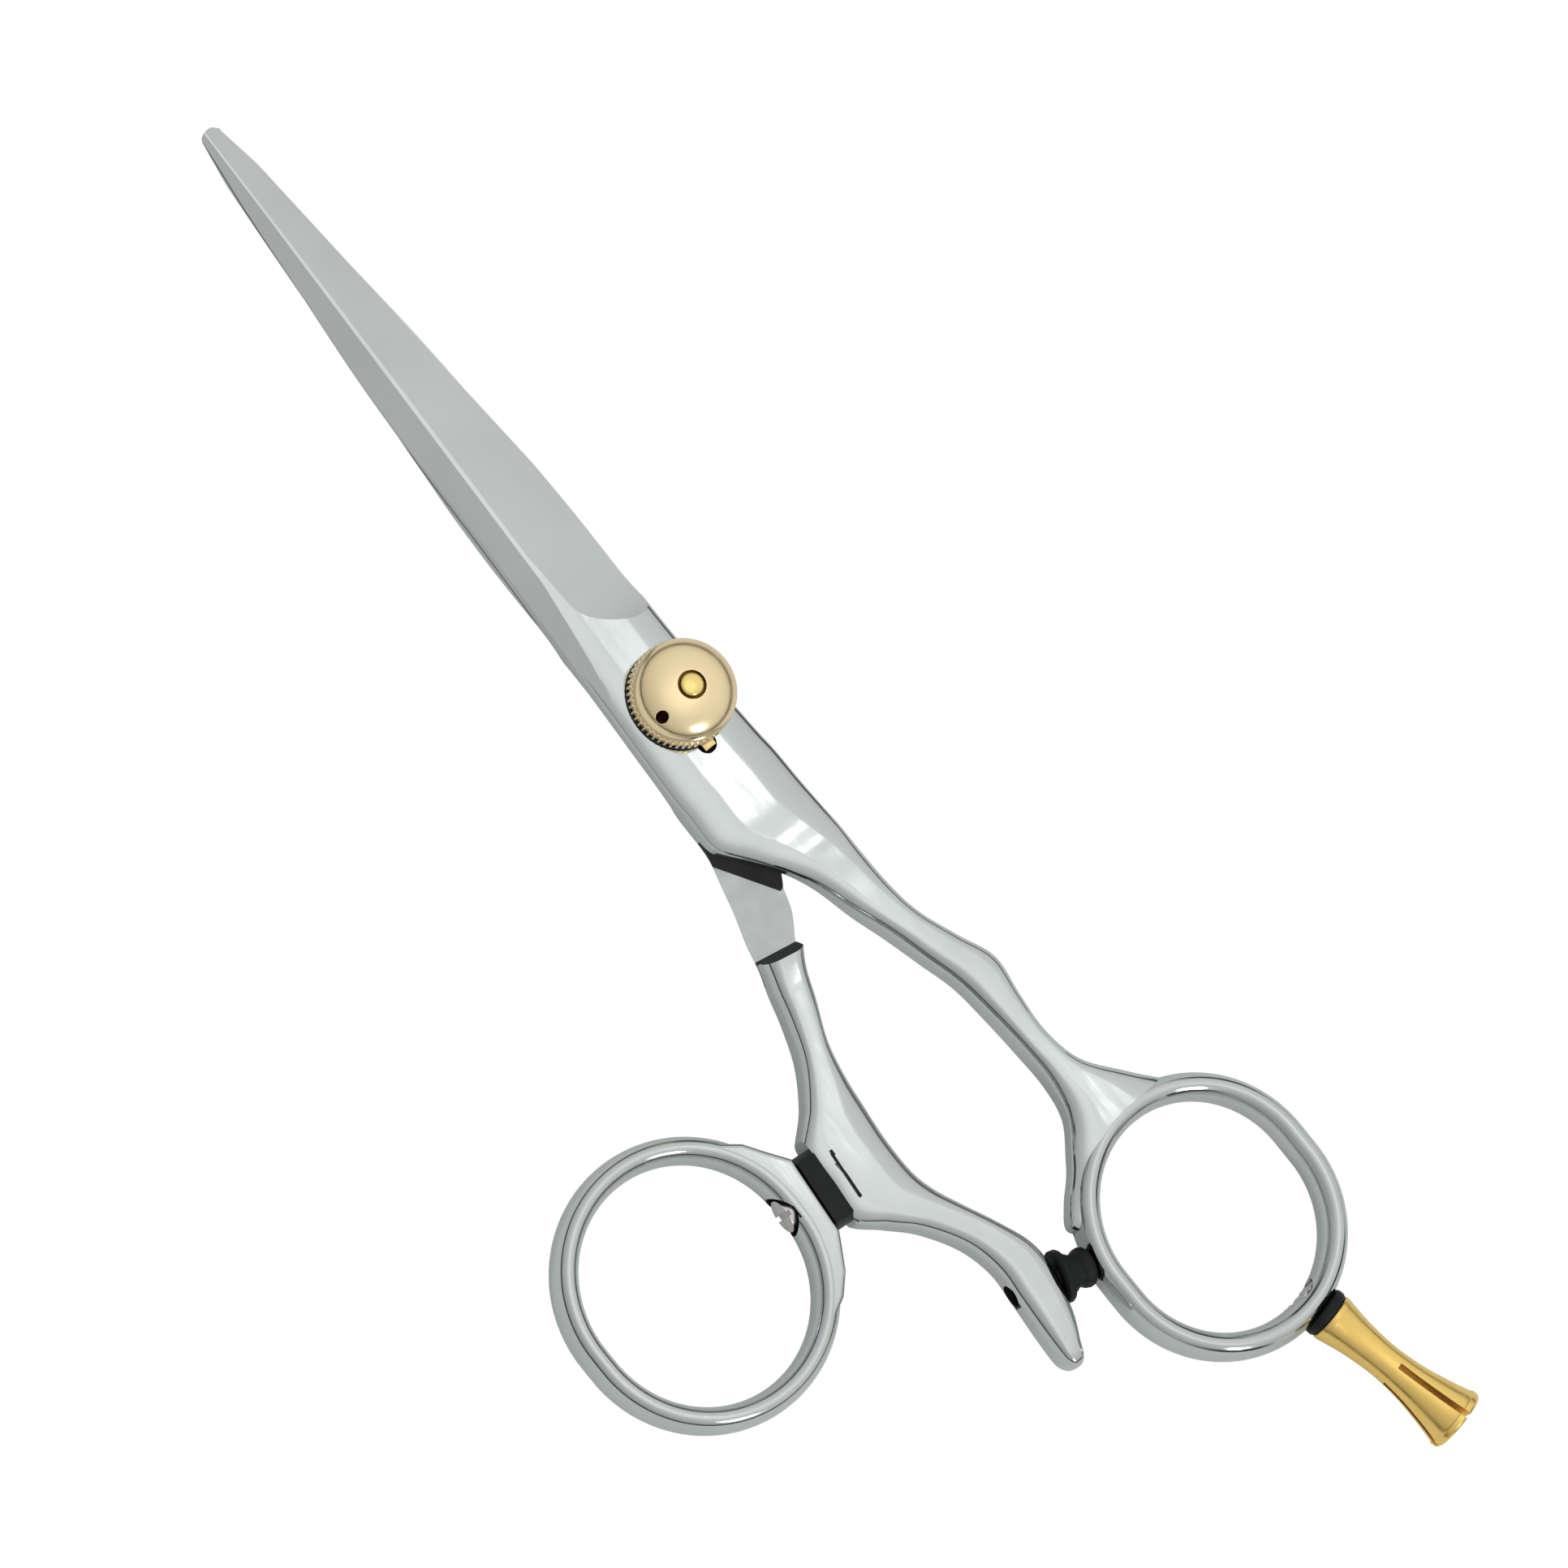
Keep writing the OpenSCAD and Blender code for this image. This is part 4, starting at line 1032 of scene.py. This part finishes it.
class SHEARS_OT_stage(bpy.types.Operator):
    """Pale floor, soft studio lights and the camera"""
    bl_idname = "shears.stage"
    bl_label = "Stage"

    def execute(self, context):
        scene = context.scene
        scene.view_settings.view_transform = "Standard"
        self.floor()
        self.lights(scene)
        c, t = math.cos(VIEW_TILT), math.sin(VIEW_TILT)
        right = Vector((ROLL[0], ROLL[1] * c, -ROLL[1] * t)).normalized()
        back = Vector((0, t, c))
        up = back.cross(right)
        clear_selection()
        bpy.ops.object.camera_add(location=VIEW_TARGET + back * VIEW_DISTANCE)
        cam = bpy.context.object
        cam.name = "studio_camera"
        cam.rotation_euler = Matrix((right, up, back)).transposed().to_euler()
        cam.data.sensor_width = 36
        cam.data.lens = 36 * VIEW_DISTANCE / VIEW_WIDTH
        cam.data.clip_start, cam.data.clip_end = 0.01, 10
        scene.camera = cam
        return {"FINISHED"}

    def floor(self):
        clear_selection()
        bpy.ops.mesh.primitive_plane_add(size=6, location=(0, 0, -0.0002))
        floor = bpy.context.object
        floor.name = "studio_floor"
        mat, bsdf = new_material("pale_floor")
        bsdf.inputs["Base Color"].default_value = (0.80, 0.82, 0.815, 1)
        bsdf.inputs["Roughness"].default_value = 0.9
        grain = noise(mat, 60, 3)
        bumped(mat, bsdf, grain, 0.05, 0.0002)
        tree = mat.node_tree
        lit = tree.nodes.new("ShaderNodeEmission")
        lit.inputs["Strength"].default_value = 1.0
        self.white_to_the_eye(tree, bsdf.outputs[0], lit.outputs[0], tree.nodes["Material Output"])
        floor.data.materials.append(mat)

    def white_to_the_eye(self, tree, shader, lit, out):
        """A clean white backdrop for the camera, while the pieces mirror a greyer studio."""
        path = tree.nodes.new("ShaderNodeLightPath")
        mix = tree.nodes.new("ShaderNodeMixShader")
        tree.links.new(path.outputs["Is Camera Ray"], mix.inputs[0])
        tree.links.new(shader, mix.inputs[1])
        tree.links.new(lit, mix.inputs[2])
        tree.links.new(mix.outputs[0], out.inputs[0])

    def lights(self, scene):
        world = bpy.data.worlds.new("studio")
        world.use_nodes = True
        tree = world.node_tree
        nodes = tree.nodes
        coord = nodes.new("ShaderNodeTexCoord")
        axes = nodes.new("ShaderNodeSeparateXYZ")
        tree.links.new(coord.outputs["Generated"], axes.inputs[0])
        ramp = nodes.new("ShaderNodeValToRGB")
        bands = ((0.0, 0.30), (0.015, 0.04), (0.15, 0.06), (0.24, 0.42), (0.60, 0.52), (0.80, 0.56),
                 (0.90, 0.62), (1.0, 0.82))
        stops = ramp.color_ramp.elements
        while len(stops) < len(bands):
            stops.new(0.5)
        for stop, (place, level) in zip(stops, bands):
            stop.position = place
            stop.color = (level * 0.98, level, level * 0.99, 1)
        tree.links.new(axes.outputs[2], ramp.inputs[0])
        slope = nodes.new("ShaderNodeMapRange")
        slope.inputs["From Min"].default_value = -1
        slope.inputs["To Min"].default_value = 1.7
        slope.inputs["To Max"].default_value = 1.0
        tree.links.new(axes.outputs[1], slope.inputs["Value"])
        background = nodes["Background"]
        tree.links.new(ramp.outputs[0], background.inputs[0])
        tree.links.new(slope.outputs[0], background.inputs[1])
        white = nodes.new("ShaderNodeBackground")
        white.inputs[0].default_value = (1, 1, 1, 1)
        self.white_to_the_eye(tree, background.outputs[0], white.outputs[0], nodes["World Output"])
        scene.world = world
        for name, x, y, wide, deep, level in GLINTS:
            spot = Vector((x * MM, y * MM, VIEW_TARGET.z + 0.002))
            lamp = panel_light(name, self.mirrored(spot), spot, (wide, deep), level * wide * deep * math.pi)
            lamp.rotation_euler.z += math.radians(90)
        panel_light("key_softbox", (-0.75, 0.1, 0.45), (0, 0, 0), (0.2, 0.2), 1.2)

    def mirrored(self, spot):
        """Place from which a light is mirrored to the camera by a level face at a spot."""
        back = Vector((0, math.sin(VIEW_TILT), math.cos(VIEW_TILT)))
        ray = (spot - VIEW_TARGET - back * VIEW_DISTANCE).normalized()
        return spot + Vector((ray.x, ray.y, -ray.z)) * GLINT_DISTANCE


# ---- Panel, registration and the build ---------------------------------------------------------

OPERATORS = (SHEARS_OT_finger_blade, SHEARS_OT_thumb_blade, SHEARS_OT_thumb_ring, SHEARS_OT_dial,
             SHEARS_OT_bumper, SHEARS_OT_finger_rest, SHEARS_OT_small_parts, SHEARS_OT_stage)


class SHEARS_PT_panel(bpy.types.Panel):
    """Sizes, colours and the pieces in building order"""
    bl_idname = "SHEARS_PT_panel"
    bl_label = "Hair cutting shears"
    bl_space_type = "VIEW_3D"
    bl_region_type = "UI"
    bl_category = "Shears"

    def draw(self, context):
        layout = self.layout
        for group in (context.scene.shears_sizes, context.scene.shears_colours):
            box = layout.box()
            for key in group.__annotations__:
                box.prop(group, key)
        for op in OPERATORS:
            layout.operator(op.bl_idname)


CLASSES = (ShearsSizes, ShearsColours) + OPERATORS + (SHEARS_PT_panel,)


def register():
    for cls in CLASSES:
        bpy.utils.register_class(cls)
    bpy.types.Scene.shears_sizes = bpy.props.PointerProperty(type=ShearsSizes)
    bpy.types.Scene.shears_colours = bpy.props.PointerProperty(type=ShearsColours)


def unregister():
    del bpy.types.Scene.shears_colours
    del bpy.types.Scene.shears_sizes
    for cls in reversed(CLASSES):
        bpy.utils.unregister_class(cls)


def main():
    register()
    make_finishes()
    bpy.ops.shears.finger_blade()
    bpy.ops.shears.thumb_blade()
    bpy.ops.shears.thumb_ring()
    bpy.ops.shears.dial()
    bpy.ops.shears.bumper()
    bpy.ops.shears.finger_rest()
    bpy.ops.shears.small_parts()
    bpy.ops.shears.stage()


if __name__ == "__main__":
    main()
